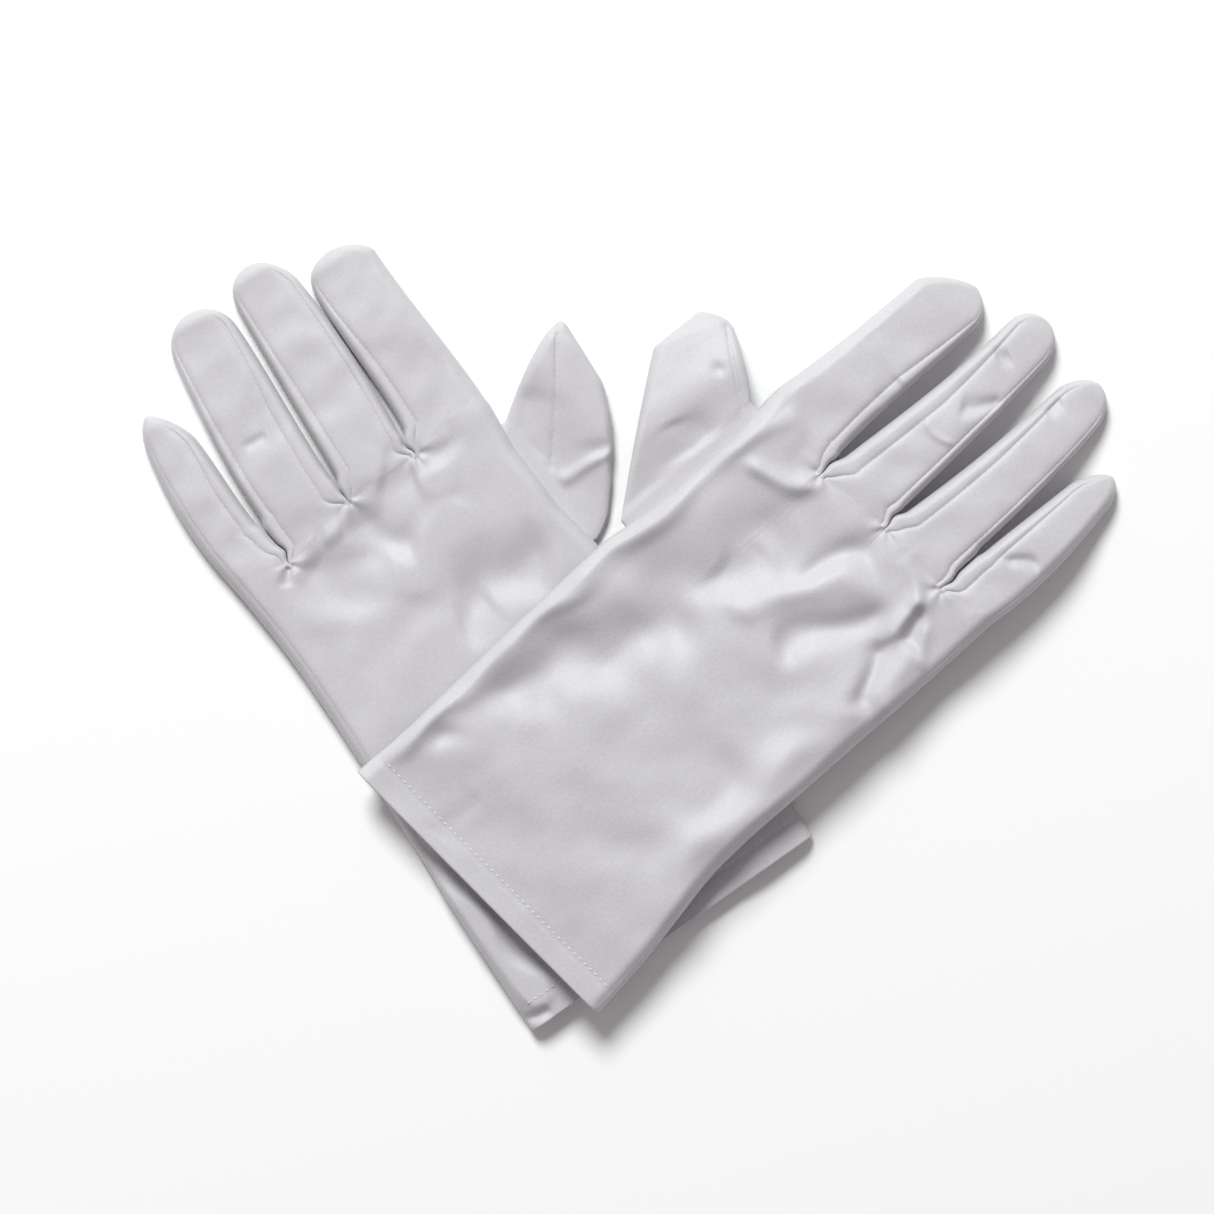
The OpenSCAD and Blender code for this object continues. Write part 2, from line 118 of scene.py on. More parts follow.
# Soft folds, as strokes: points in plan, half-width, height
FOLDS = {
    "left": [
        ([(-55.5, 53.5)], 3.5, -0.9), ([(-55, 45.5)], 4, 1.1),
        ([(-75.5, 45.5), (-67.5, 46.5), (-60, 49)], 6, -1.4),
        ([(-81.5, 38.5), (-72, 29.5), (-58.5, 27)], 8, -1.6),
        ([(-97, 22.5), (-83.5, 18), (-70.5, 19.5)], 7, -1.5),
        ([(-91.5, 29), (-85.5, 32)], 3, 0.8),
        ([(-20.5, 27), (-36.5, 19), (-53, 7)], 8, -1.6),
        ([(-36.5, 10.5), (-51.5, 1.5)], 5, -1.0),
        ([(-47, 40), (-58.5, 27), (-70.5, 10.5)], 7, 0.8),
        ([(-101, 20), (-99.5, 13)], 2, -0.5),
        ([(-60, -66.5), (-47, -82), (-32, -100), (-23.5, -108)], 4, 1.4),
        ([(-66, -51.5), (-53, -69), (-38, -86.5), (-20.5, -103)], 4, -1.2),
        ([(-34.5, -112.5), (-25, -108)], 2.2, -0.9),
        ([(-115, 56), (-107, 58.5)], 2, -0.5),
    ],
    "right": [
        ([(-75.5, -39), (-64.5, -30), (-44, -10.5), (-8.5, 22.5), (18, 45.5), (38.5, 61), (59, 78.5)],
         3.6, 1.3),
        ([(-40, -21), (-17.5, -7.5), (0, -1), (24, 6)], 9, -3.2),
        ([(-37, -16.5)], 5, -1.5), ([(-53, -32)], 4.5, -1.3),
        ([(0, 9), (27, 19.5), (50.5, 31)], 12, -2.3),
        ([(21, 22.5), (32.5, 16.5), (40, 22.5)], 5, -0.8),
        ([(36, 54), (42.5, 46), (50.5, 43), (58.5, 45.5)], 3, 1.3),
        ([(48, 33.5)], 8, -1.2),
        ([(47.5, 22.5), (62, 23.5), (75.5, 24.5)], 4.5, -1.4),
        ([(27, 7), (38.5, 10.5), (56, 15.5), (74, 15)], 5, 1.3),
        ([(41.5, -4.5), (50.5, 0.5), (65, 4), (75.5, 4)], 4.5, -1.9),
        ([(74, -4.5), (59.5, -23.5), (47.5, -37), (32.5, -52), (15, -69.5), (6, -86.5)], 8, 2.3),
        ([(74, -1), (68.5, -13), (63, -26)], 3.5, -1.8),
        ([(87, -4.5), (80, -16), (70.5, -27)], 5, 1.2),
        ([(80.5, 25.5), (82.5, 16.5), (82, 9)], 2.8, 0.7),
        ([(86.5, 15.5), (80, 7), (75, -4.5)], 3, 1.3),
        ([(86, 12), (83.5, 3), (81, -5)], 2.6, -1.3),
        ([(88.5, 7), (87.5, -4), (88, -13)], 1.8, 0.6),
        ([(28, -40)], 9, -0.9), ([(-44.5, -47.5), (-51.5, -52.5), (-55.5, -59.5)], 3.6, -0.35),
        ([(107.5, 82), (111.5, 83)], 1.8, -0.6), ([(97.5, 68.5), (108.5, 70)], 1.8, -0.9),
        ([(85.5, 63.5), (96, 57)], 1.2, 0.5), ([(122.5, 63), (130, 67.5)], 1.9, -0.7),
        ([(107, 18.5), (118, 20.5)], 2, -0.8), ([(71, 69), (80, 74)], 3, -0.6),
    ],
    "left_thumb": [
        ([(-26, 66)], 5, -0.8), ([(-28.5, 53)], 3, -0.6), ([(-11, 57)], 3, -0.7),
        ([(-23.5, 46.5), (-15.5, 49), (-6, 56)], 1.6, 0.9),
    ],
    "right_thumb": [
        ([(25.5, 78.5)], 2.6, -0.7), ([(22.5, 60)], 6, -1.2), ([(12, 62), (18, 50)], 5, -0.7),
    ],
}
# Sideways lean of the slit where two fingers meet: ring and little, middle and ring, index and middle
LEANS = {"left": (0.5, -0.6, -1.0), "right": (-0.7, 0.8, 0.7)}
# How far along each of those slits the fingers lie against each other
CLOSED = {"left": (12, 4, 4.5), "right": (13, 4, 5)}
SIDE_SEAM = {"left": 3.0, "right": 1.8}     # the hand's side seam, in from its little-finger edge
# Thumb outlines against the CAD's: flare at the far end of the base, bulge of the near side, and a
# straight fold across a corner
THUMB_SHAPE = {"left": (5.2, 1.5), "right": (0.0, 0.0)}
THUMB_FOLD = {"left": ((-18.3, 91.9), (-7.6, 74.8)), "right": ((8.2, 85.8), (19.5, 95.2))}
THUMB_SEAM = {"left": [(-21.5, 89), (-21.5, 69.5), (-23, 50)], "right": [(28.7, 91), (30.5, 80), (33.4, 67)]}


# ---------------------------------------------------------------- small helpers
def smooth(x):
    """0 to 1 with soft ends."""
    x = np.clip(x, 0, 1)
    return x * x * (3 - 2 * x)


def lerp(a, b, f):
    return a + (b - a) * f


def unit(v):
    return v / np.linalg.norm(v)


def curve_through(points, count):
    """A smooth curve through a few points, at count places."""
    p = np.array(points, float)
    if len(p) < 3:
        return lerp(p[0], p[-1], np.linspace(0, 1, count)[:, None])
    ends = np.vstack([2 * p[0] - p[1], p, 2 * p[-1] - p[-2]])
    at = np.linspace(0, len(p) - 1 - 1e-9, count)
    i = at.astype(int)
    f = (at - i)[:, None]
    p0, p1, p2, p3 = ends[i], ends[i + 1], ends[i + 2], ends[i + 3]
    return 0.5 * (2 * p1 + (p2 - p0) * f + (2 * p0 - 5 * p1 + 4 * p2 - p3) * f**2
                  + (3 * p1 - p0 - 3 * p2 + p3) * f**3)


def spread(length, start, middle, end, growth=0.05):
    """Fractions along a length whose steps, in mm, grow from start to middle and shrink to end."""
    samples = 600
    x = np.linspace(0, 1, samples)
    step = np.minimum(np.minimum(start + growth * x * length, middle), end + growth * (1 - x) * length)
    total = np.concatenate([[0], np.cumsum((1 / step[1:] + 1 / step[:-1]) / 2 * length / (samples - 1))])
    count = int(round(total[-1])) + 1
    return np.interp(np.linspace(0, total[-1], count), total, x)


def path_length(points):
    """Length along a line from its first point to each of them."""
    return np.concatenate([[0], np.cumsum(np.linalg.norm(np.diff(points, axis=0), axis=1))])


def nearest_on(xy, line):
    """Distance of every point from a line of points, and how far along it the nearest place is."""
    nearest, where = np.full(xy.shape[:-1], np.inf), np.zeros(xy.shape[:-1])
    for i, (a, b) in enumerate(zip(line, line[1:])):
        f = np.clip(((xy - a) @ (b - a)) / ((b - a) @ (b - a) + 1e-12), 0, 1)
        distance = np.linalg.norm(xy - a - f[..., None] * (b - a), axis=-1)
        where = np.where(distance < nearest, (i + f) / (len(line) - 1), where)
        nearest = np.minimum(nearest, distance)
    return nearest, where


def stroke(xy, points, width, height):
    """Height that one soft fold adds at each point of xy."""
    p = np.array(points, float)
    added = np.zeros(len(xy))
    reach = 3 * width
    near = np.all((xy > p.min(0) - reach) & (xy < p.max(0) + reach), axis=1)
    if not near.any():
        return added
    q = xy[near]
    if len(p) == 1:
        distance, fade = np.linalg.norm(q - p[0], axis=1), 1.0
    else:
        distance, where = nearest_on(q, curve_through(p, 6 * len(p)))
        fade = smooth(where / FOLD_FADE) * smooth((1 - where) / FOLD_FADE)
    added[near] = height * np.exp(-((distance / width) ** 2)) * fade
    return added


def waves(xy, seed, shortest, longest, count=9):
    """Gentle unrepeating undulation of about unit size, with wavelengths in a range."""
    random = np.random.default_rng(seed)
    total = np.zeros(xy.shape[:-1])
    for wavelength in np.geomspace(shortest, longest, count):
        angle, phase = random.uniform(0, 2 * np.pi, 2)
        total += np.sin((xy @ [np.cos(angle), np.sin(angle)]) * 2 * np.pi / wavelength + phase)
    return total / np.sqrt(count / 2)


def relief(kind, xy):
    """All the folds of one glove or thumb at each point of xy, wandering a little as cloth does."""
    flat = xy.reshape(-1, 2)
    seed = 10 * sorted(FOLDS).index(kind)
    amount, *lengths = WANDER
    wander = np.column_stack([waves(flat, seed + k, *lengths) for k in (1, 2)])
    total = sum(stroke(flat + amount * wander, *fold) for fold in FOLDS[kind])
    for k, (height, *lengths) in enumerate(SLACK, 3):
        total = total + height * waves(flat, seed + k, *lengths)
    return FOLD_DEPTH * total.reshape(xy.shape[:-1])


def seam_dip(off):
    """Depth of a sewn seam at a distance off its line."""
    return -GROOVE[0] * np.exp(-((off / GROOVE[1]) ** 2)) - CREASE[0] * np.exp(-((off / CREASE[1]) ** 2))


def side_round(distance, radius):
    """Rounded shoulder: 0 at an edge, 1 from radius inwards."""
    x = np.clip(distance / radius, 0, 1)
    return np.sqrt(np.clip(1 - (1 - x) ** 2, 0, 1))


def along_line(line, run, places):
    """Points of a line at some places along its run."""
    return np.stack([np.interp(places, run, line[:, k]) for k in range(line.shape[1])], axis=1)


def smoothed(line):
    """A line or grid with every inner row averaged with its neighbours."""
    line = line.copy()
    line[1:-1] = (line[:-2] + 2 * line[1:-1] + line[2:]) / 4
    return line


# ---------------------------------------------------------------- reading the frame
def points_of(mesh):
    """A mesh's points, in mm."""
    return np.array([v.co for v in mesh.vertices], float) / MM


def axis_of(glove, digit):
    """The direction of a digit's hinge in plan, and the direction in which the digit lies from it."""
    axis = np.array(JOINTS[f"{glove}_{digit}_fold"]["axis"][:2], float)
    return axis, np.array([-axis[1], axis[0]])


def node_edges(*names):
    """Both ends of every mesh edge of some CAD nodes, in mm."""
    found = []
    for name in names:
        mesh = frame["nodes"][name].data
        found.append(points_of(mesh)[np.array([e.vertices for e in mesh.edges])])
    return np.concatenate(found)


def slices(edges, along, across, places):
    """For each plane across a direction, the limits of v and z that the nodes reach there."""
    u0, u1 = edges[:, 0, :2] @ along, edges[:, 1, :2] @ along
    rows = []
    for u in places:
        hit = (u0 - u) * (u1 - u) < 0
        f = ((u - u0) / (u1 - u0 + 1e-12))[hit][:, None]
        p = lerp(edges[hit, 0], edges[hit, 1], f)
        v = p[:, :2] @ across
        rows.append((v.min(), v.max(), p[:, 2].min(), p[:, 2].max()))
    return np.array(rows)


class Outline:
    """Plan outline and height of a hand or digit, read from its CAD nodes as curves over u."""
    FITTED, SLICES = 0.78, 60   # the part of its length, from the root, that is sliced for the curves
    OFF_ROOT = 0.6              # the slices keep this far off the root corners

    def __init__(self, names, along, across):
        self.along, self.across = unit(np.array(along, float)), unit(np.array(across, float))
        edges = node_edges(*names)
        points = edges.reshape(-1, 3)
        u, v = points[:, :2] @ self.along, points[:, :2] @ self.across
        a, b = np.argmin(u + 2 * v), np.argmin(u - 2 * v)
        self.root_a, self.root_b, self.tip = u[a], u[b], u.max()
        self.corner_a, self.corner_b = points[a, :2], points[b, :2]
        root = min(self.root_a, self.root_b)
        places = np.linspace(root + self.OFF_ROOT, lerp(root, self.tip, self.FITTED), self.SLICES)
        rows = slices(edges, self.along, self.across, places)
        on_a, on_b = places > self.root_a + self.OFF_ROOT, places > self.root_b + self.OFF_ROOT
        both = on_a & on_b
        self.edge_a = np.polyfit(places[on_a], rows[on_a, 0], 3)
        self.edge_b = np.polyfit(places[on_b], rows[on_b, 1], 3)
        self.floor = np.polyfit(places[both], rows[both, 2], 3)
        self.top = np.polyfit(places[both], rows[both, 3], 3)
        self.z_limits = rows[:, 2].min(), rows[:, 3].max()

    def plan(self, u, v):
        return u[..., None] * self.along + v[..., None] * self.across


# ---------------------------------------------------------------- digits
SIDE = np.array([0, 0.03, 0.1, 0.21, 0.36, 0.53, 0.7, 0.84, 0.94, 1])    # columns from an edge to its seam
SIDE_CELLS = len(SIDE) - 1
BACK_CELLS = 26                         # across a back, between its seams
PALM_CELLS, PALM_SIDE_CELLS = 16, 3     # across a palm, and how many of those a side strip takes
DIGIT_ROWS, ROW_CROWDING = 140, 1.45    # rows crowd towards the tip
LEAN_REACH = 7.5                        # a slit leans over this length beyond its root
THIN_FROM, THINNED, TIP_ROUND = 0.6, 0.25, 4.5   # from here on a digit thins, and it closes over its last mm
SEAM_LIMIT = 0.3                        # no seam lies further in than this part of the width
LEAST_WIDTH = 0.01                      # the rows at the tip count as no narrower than this
CREST_GAP = 0.7                         # at a crotch the edge comes this near to the crest
OUTER_ROUND, INNER_ROUND, PALM_ROUND = (4.6, 3.2), 2.3, (3.6, 3.6)   # radii of the shoulders
CROTCH_ROUND, CROTCH_HOLD, CROTCH_GROW = 1.2, 3.5, 9   # radius at a crotch, how far it holds, then grows
CROWN_HEIGHT, CROWN_END = 0.5, 8        # the middle of a finger's back stands this proud, less at the tip
SEAM_STOP, SEAM_FADE, RELIEF_FADE = 1, 9, 6            # seams and folds fade out towards the tip
BACK_EASE, PALM_EASE = 0.5, 0.6         # how much the cells crowd at a back's seams and a palm's edges
SLIT = 0.1                              # gap between fingers that lie against each other


def eased(n, ease):
    """Fractions for n cells that crowd at both ends."""
    x = np.linspace(0, 1, n + 1)
    return lerp(x, 0.5 - 0.5 * np.cos(np.pi * x), ease)


class Digit(Outline):
    """One finger: its back and palm as grids of points, row by row from root to tip."""

    def __init__(self, glove, name, nodes, along, across):
        super().__init__(nodes, along, across)
        self.glove, self.name = glove, name
        self.crown, self.taper_a, self.round_a, self.taper_b, self.round_b = TIPS[f"{glove}_{name}"]
        self.seam_a, self.seam_b = SEAMS[f"{glove}_{name}"]
        self.length = self.tip - min(self.root_a, self.root_b)
        self.t = 1 - (1 - np.linspace(0, 1, DIGIT_ROWS + 1)) ** ROW_CROWDING
        # how far each edge gives way to its neighbour, and the lean of the slit between them
        self.lean_a = self.lean_b = 0.0
        self.meets_a = self.meets_b = False
        self.yield_a = self.yield_b = (np.array([0, 1.0]), np.zeros(2))
        self.tip += TIP_MORE

    def edges_at(self, u):
        """v of both outlines at u, tapered to the crown over the tip."""
        a, b = np.polyval(self.edge_a, u), np.polyval(self.edge_b, u)
        for edge, root, lean in ((a, self.root_a, self.lean_a), (b, self.root_b, self.lean_b)):
            edge += lean * np.sin(np.pi * np.clip((u - root) / LEAN_REACH, 0, 1)) ** 2
        a += np.interp(u, *self.yield_a)
        b -= np.interp(u, *self.yield_b)
        middle = lerp(a, b, self.crown)

        def narrowed(edge, taper, roundness):
            x = np.clip((u - (self.tip - taper)) / taper, 0, 1)
            return middle + (edge - middle) * np.clip(1 - x**roundness, 0, 1) ** (1 / roundness)
        return narrowed(a, self.taper_a, self.round_a), narrowed(b, self.taper_b, self.round_b)

    def place(self, q):
        """Plan points for every row; q gives each column's fraction across from a to b."""
        u = lerp(lerp(self.root_a, self.root_b, q), self.tip, self.t[:, None])
        a, b = self.edges_at(u)
        return u, b - a, self.plan(u, lerp(a, b, q))

    def heights(self, u):
        """Lowest, middle and highest z of the digit along u, closing at the tip."""
        low, high = np.polyval(self.floor, u), np.polyval(self.top, u)
        beyond = smooth((u - lerp(self.root_a, self.tip, THIN_FROM)) / ((1 - THIN_FROM) * self.length))
        shrink = (1 - THINNED * beyond) * side_round(self.tip - u, TIP_ROUND)
        centre = (low + high) / 2
        edge = lerp(low, high, EDGE_LEVEL)
        top, under = centre + (high - centre) * shrink, centre - (centre - low) * shrink
        edge = np.clip(edge, under, top)
        return np.maximum(under, FLOOR_GAP), edge, top

    def insets(self, width):
        """Distance of both seams from the edges, row by row: at a crotch they run together in a U."""
        made = []
        for seam, meets, root, gives in ((self.seam_a, self.meets_a, self.root_a, self.yield_a),
                                         (self.seam_b, self.meets_b, self.root_b, self.yield_b)):
            inset = np.interp(self.t, [0, 0.5, 1], seam)
            if meets:
                along = (self.tip - root) * self.t
                inset = inset - np.minimum(np.interp(root + along, *gives), 0)
                inset = np.maximum(inset * side_round(along, U_DEPTH), U_TURN)
            made.append(np.minimum(inset, SEAM_LIMIT * np.maximum(width, LEAST_WIDTH))[:, None])
        return made

    def columns(self):
        """Fractions across for the back's columns, seams on columns SIDE_CELLS and -SIDE_CELLS - 1."""
        a, b = self.edges_at(lerp((self.root_a + self.root_b) / 2, self.tip, self.t))
        width = np.maximum(b - a, LEAST_WIDTH)
        near, far = self.insets(width)
        near, far = near / width[:, None], far / width[:, None]
        middle = near + (1 - near - far) * eased(BACK_CELLS, BACK_EASE)[None, 1:-1]
        return np.hstack([near * SIDE, middle, 1 - far * SIDE[::-1]]), near, far

    def section(self, u, q, width, middle, reach, radii):
        """Height over the cross-section: up from each edge's level to the crest (or down, for the palm)."""
        s_a, s_b = u - self.root_a, u - self.root_b
        near_crest = reach - CREST_GAP * np.sign(reach - middle)
        levels, sides = [], []
        for meets, s, radius in ((self.meets_a, s_a, radii[0]), (self.meets_b, s_b, radii[1])):
            levels.append(lerp(near_crest, middle, smooth(s / GUSSET)) if meets else middle)
            grown = smooth((s - CROTCH_HOLD) / CROTCH_GROW)
            sides.append(lerp(CROTCH_ROUND, radius, grown) if meets else radius)
        shoulder = side_round(q * width, sides[0]) * side_round((1 - q) * width, sides[1])
        level = lerp(*levels, smooth((q - 0.3) / 0.4))     # turning over the middle of the width
        return level + (reach - level) * shoulder, shoulder

    def back(self):
        """The finger's back as a grid, with its root row first."""
        q, near, far = self.columns()
        u, width, xy = self.place(q)
        _, middle, high = self.heights(u)
        outer = lerp(*OUTER_ROUND, self.t)[:, None]
        radii = [INNER_ROUND if meets else outer for meets in (self.meets_a, self.meets_b)]
        z, shoulder = self.section(u, q, width, middle, high, radii)
        to_tip = self.tip - u
        z += CROWN_HEIGHT * (4 * q * (1 - q)) * side_round(to_tip, CROWN_END)
        fade = smooth((to_tip - SEAM_STOP) / SEAM_FADE)
        if self.meets_a or self.name == "little":
            z += fade * seam_dip(q * width - near * width) * (1 if self.meets_a else SINGLE_SEAM)
        if self.meets_b:
            z += fade * seam_dip((1 - q) * width - far * width)
        z += relief(self.glove, xy) * np.sqrt(shoulder) * smooth(to_tip / RELIEF_FADE)
        return np.dstack([xy, np.maximum(z, FLOOR_GAP)])

    def palm(self):
        """The finger's palm side as a grid, with its root row first."""
        q = np.tile(eased(PALM_CELLS, PALM_EASE), (len(self.t), 1))
        u, width, xy = self.place(q)
        low, middle, _ = self.heights(u)
        z, _ = self.section(u, q, width, middle, low, PALM_ROUND)
        return np.dstack([xy, np.maximum(z, FLOOR_GAP)])

    def gusset_rows(self, root):
        """How many rows from a root corner the gusset's wall follows."""
        return np.searchsorted((self.tip - root) * self.t, GUSSET) + 1


class Thumb:
    """A thumb: its outline comes from the CAD node's hull, and its cut edge tucks in under the hand."""
    ROWS, CELLS, TUCKED = 90, 60, 8
    OUTLINE, PASSES, CROWDING = 400, 9, 1.5  # points of its outline, smoothing passes, crowding of its rows
    BASE = 4                # the cut edge is the part of the outline within this of its innermost point
    FLARE_REACH = 22        # the base flares over this length of the outline
    ROUND = 3.4             # radius of its edges
    SUNK, RAISED = 0.2, 0.5                  # where edges and back start, below and above the hand's edge
    LEVEL_REACH, RISE_REACH = 24, 20         # they reach their own height over these
    BACK_RISE, PALM_DROP = 3.2, (2.3, 3.2)   # height of its back and depth of its palm, off its edges

    def __init__(self, glove, hand_level):
        self.glove, self.hand_level = glove, hand_level
        axis, self.out = axis_of(glove, "thumb")
        at = points_of(frame["nodes"][f"{glove}_thumb"].data)
        hull = at[geometry.convex_hull_2d([tuple(p) for p in at[:, :2]])]
        reach = hull[:, :2] @ self.out
        base = reach < reach.min() + self.BASE
        start = np.argmin(np.where(base, hull[:, :2] @ axis, np.inf))
        end = np.argmax(np.where(base, hull[:, :2] @ axis, -np.inf))
        path = np.roll(hull, -start, axis=0)
        path = path[: (end - start) % len(hull) + 1]
        if path[:, :2].mean(0) @ self.out < hull[:, :2].mean(0) @ self.out:
            path = np.roll(hull[::-1], -(len(hull) - 1 - start), axis=0)[: (start - end) % len(hull) + 1]
        self.base_reach = reach.min()
        run = path_length(path[:, :2])
        keep = np.concatenate([[True], np.diff(run) > 1e-6])
        fine = np.linspace(0, run[-1], self.OUTLINE)
        line = along_line(path[keep], run[keep], fine)
        from_start = fine[:, None]
        flare, bulge = THUMB_SHAPE[glove]
        line[:, :2] += axis * flare * (1 - smooth((run[-1] - from_start) / self.FLARE_REACH))
        top = np.argmax(line[:, 1])
        side = np.sin(np.pi * np.clip(from_start / from_start[top], 0, 1))
        line[:, :2] += bulge * side * unit(np.array([-axis[0], self.out[1]]))
        (x0, y0), (x1, y1) = THUMB_FOLD[glove]
        outward = unit(np.array([y0 - y1, x1 - x0]))
        over = np.maximum((line[:, :2] - (x0, y0)) @ outward, 0)
        line[:, :2] -= over[:, None] * outward
        top = np.argmax(line[:, 1])
        for _ in range(self.PASSES):
            line = smoothed(line)
        t = 1 - (1 - np.linspace(0, 1, self.ROWS + 1)) ** self.CROWDING
        last = self.OUTLINE - 1
        self.side_a, self.side_b = (along_line(line, np.arange(self.OUTLINE), places)
                                    for places in (t * top, last - t * (last - top)))

    def surface(self, back):
        """The thumb's back or palm as a grid, with its cut edge first."""
        q = eased(self.CELLS, PALM_EASE)
        rows = lerp(self.side_a[:, None], self.side_b[:, None], q[None, :, None])
        inward = np.linspace(TUCK, 0, self.TUCKED + 1)[:-1]
        tucked = np.repeat(rows[:1], self.TUCKED, axis=0)
        tucked[..., :2] -= inward[:, None, None] * self.out
        rows = np.concatenate([tucked, rows])
        xy, level = rows[..., :2], rows[..., 2]
        width = np.linalg.norm(xy[:, -1] - xy[:, 0], axis=1)[:, None]
        out = xy @ self.out - self.base_reach
        level = lerp(self.hand_level - self.SUNK, level, smooth(out / self.LEVEL_REACH))
        shoulder = side_round(q * width, self.ROUND) * side_round((1 - q) * width, self.ROUND)
        if back:
            risen = smooth((out - 0.3) / self.RISE_REACH)
            crest = lerp(self.hand_level + self.RAISED - level, self.BACK_RISE, risen)
            folds = relief(f"{self.glove}_thumb", xy)
            z = level + crest * shoulder + folds * np.sqrt(shoulder) * smooth(out / 3)
            z = z + THUMB_DIP * seam_dip(nearest_on(xy, curve_through(THUMB_SEAM[self.glove], 20))[0])
        else:
            z = level - lerp(*self.PALM_DROP, smooth(out / 6)) * shoulder
        return np.dstack([xy, np.maximum(z, FLOOR_GAP)])


# ---------------------------------------------------------------- meshes
class Cloth:
    """Collects grids that share edges, welds them, and cuts them into pieces with shared normals."""

    def __init__(self):
        self.points, self.quads, self.labels = [], [], []
        self.count = 0

    def grid(self, points, label, facing):
        """Adds a grid whose first columns face a given way; label names its piece, or one per column."""
        rows, cols = points.shape[:2]
        index = np.arange(rows * cols).reshape(rows, cols) + self.count
        quads = np.stack([index[:-1, :-1], index[:-1, 1:], index[1:, 1:], index[1:, :-1]], axis=-1)
        names = [label] * (cols - 1) if isinstance(label, str) else label
        p = points[:, : max(cols // 3, 2)]
        cross = np.cross(p[:-1, 1:] - p[:-1, :-1], p[1:, :-1] - p[:-1, :-1]).sum(axis=(0, 1))
        if cross @ np.asarray(facing, float) < 0:
            quads = quads[..., ::-1]
        self.points.append(points.reshape(-1, 3))
        self.quads.append(quads.reshape(-1, 4))
        self.labels += names * (rows - 1)
        self.count += rows * cols

    def weld(self):
        """Joins points that are the same to a thousandth of a millimetre."""
        points = np.concatenate(self.points)
        _, first, back = np.unique(np.round(points, 3), axis=0, return_index=True, return_inverse=True)
        self.at, self.of = points[first], back.reshape(-1)
        self.faces = self.of[np.concatenate(self.quads)]
        self.names = np.array(self.labels)
        p = self.at[self.faces]
        normal = np.cross(p[:, 2] - p[:, 0], p[:, 3] - p[:, 1])
        total = np.zeros_like(self.at)
        for corner in range(4):
            np.add.at(total, self.faces[:, corner], normal)
        self.normals = total / (np.linalg.norm(total, axis=1, keepdims=True) + 1e-12)


def add_object(name, data):
    """A new object, linked to the scene."""
    obj = bpy.data.objects.new(name, data)
    bpy.context.scene.collection.objects.link(obj)
    return obj


def new_mesh(name, points, faces, normals=None):
    """A mesh object from points in mm; faces is a list of index tuples. Normals are per point."""
    mesh = bpy.data.meshes.new(name)
    mesh.from_pydata((np.asarray(points) * MM).tolist(), [], faces)
    mesh.polygons.foreach_set("use_smooth", [True] * len(mesh.polygons))
    mesh.update()
    if normals is not None:
        mesh.normals_split_custom_set_from_vertices(np.asarray(normals).tolist())
    return add_object(name, mesh)


def cut_piece(cloth, name, label):
    """One piece of a welded cloth, with its thickness turned inwards and its cut edges closed."""
    used, local = np.unique(cloth.faces[cloth.names == label], return_inverse=True)
    n = len(used)
    outer = whole_faces(local.reshape(-1, 4))
    inner = [tuple(i + n for i in reversed(face)) for face in outer]
    sides = dict.fromkeys(side for face in outer for side in zip(face, face[1:] + face[:1]))
    rim = [(j, i, i + n, j + n) for i, j in sides if (j, i) not in sides]
    points, normals = cloth.at[used], cloth.normals[used]
    return new_mesh(name, np.vstack([points, points - normals * CLOTH]),
                    outer + inner + rim, np.vstack([normals, -normals]))


def whole_faces(quads):
    """Welded quads without their doubled corners, apart from those that have shrunk to a line."""
    faces = [tuple(dict.fromkeys(quad)) for quad in quads.tolist()]
    return [face for face in faces if len(face) > 2]


def tube(points, radii, sides):
    """Points and faces of a round-ended tube along a line of points."""
    points = np.asarray(points, float)
    ahead = np.gradient(points, axis=0)
    ahead /= np.linalg.norm(ahead, axis=1, keepdims=True) + 1e-12
    up = np.array([0, 0, 1.0])
    right = np.cross(ahead, up)
    right /= np.linalg.norm(right, axis=1, keepdims=True) + 1e-12
    over = np.cross(right, ahead)
    angle = np.linspace(0, 2 * np.pi, sides, endpoint=False)
    rings = (points[:, None] + np.asarray(radii)[:, None, None]
             * (np.cos(angle)[None, :, None] * right[:, None] + np.sin(angle)[None, :, None] * over[:, None]))
    last = (len(points) - 1) * sides
    faces = [(i + j, i + (j + 1) % sides, i + sides + (j + 1) % sides, i + sides + j)
             for i in range(0, last, sides) for j in range(sides)]
    faces += [tuple(range(sides))[::-1], tuple(range(last, last + sides))]
    return rings.reshape(-1, 3), faces


def stitches(name, lines, pitch, length, radius, lift):
    """Separate stitches along lines of (points, normals), all in one object."""
    points, faces, total = [], [], 0
    rings = sides = 6
    bow = np.sin(np.linspace(0, np.pi, rings))
    for at, normals in lines:
        run = path_length(at)
        for start in np.arange(pitch / 2, run[-1] - length, pitch):
            x = start + np.linspace(0, length, rings)
            middle, out = along_line(at, run, x), along_line(normals, run, x)
            # the ends go down into the cloth and taper
            middle = middle + out * (lift + radius * (bow - 0.9))[:, None]
            ring, quads = tube(middle, radius * (0.45 + 0.55 * bow), sides)
            points.append(ring)
            faces += [tuple(i + total for i in f) for f in quads]
            total += len(ring)
    return new_mesh(name, np.concatenate(points), faces)


# ---------------------------------------------------------------- materials
def node(tree, kind, *first, **values):
    """A new shader node: values for its first inputs, and for its inputs and settings by name. An
    output of another node is linked."""
    made = tree.nodes.new(kind)
    for key, value in [*enumerate(first), *values.items()]:
        if key in values and key not in made.inputs:
            setattr(made, key, value)
        elif isinstance(value, bpy.types.NodeSocket):
            tree.links.new(value, made.inputs[key])
        else:
            made.inputs[key].default_value = value
    return made


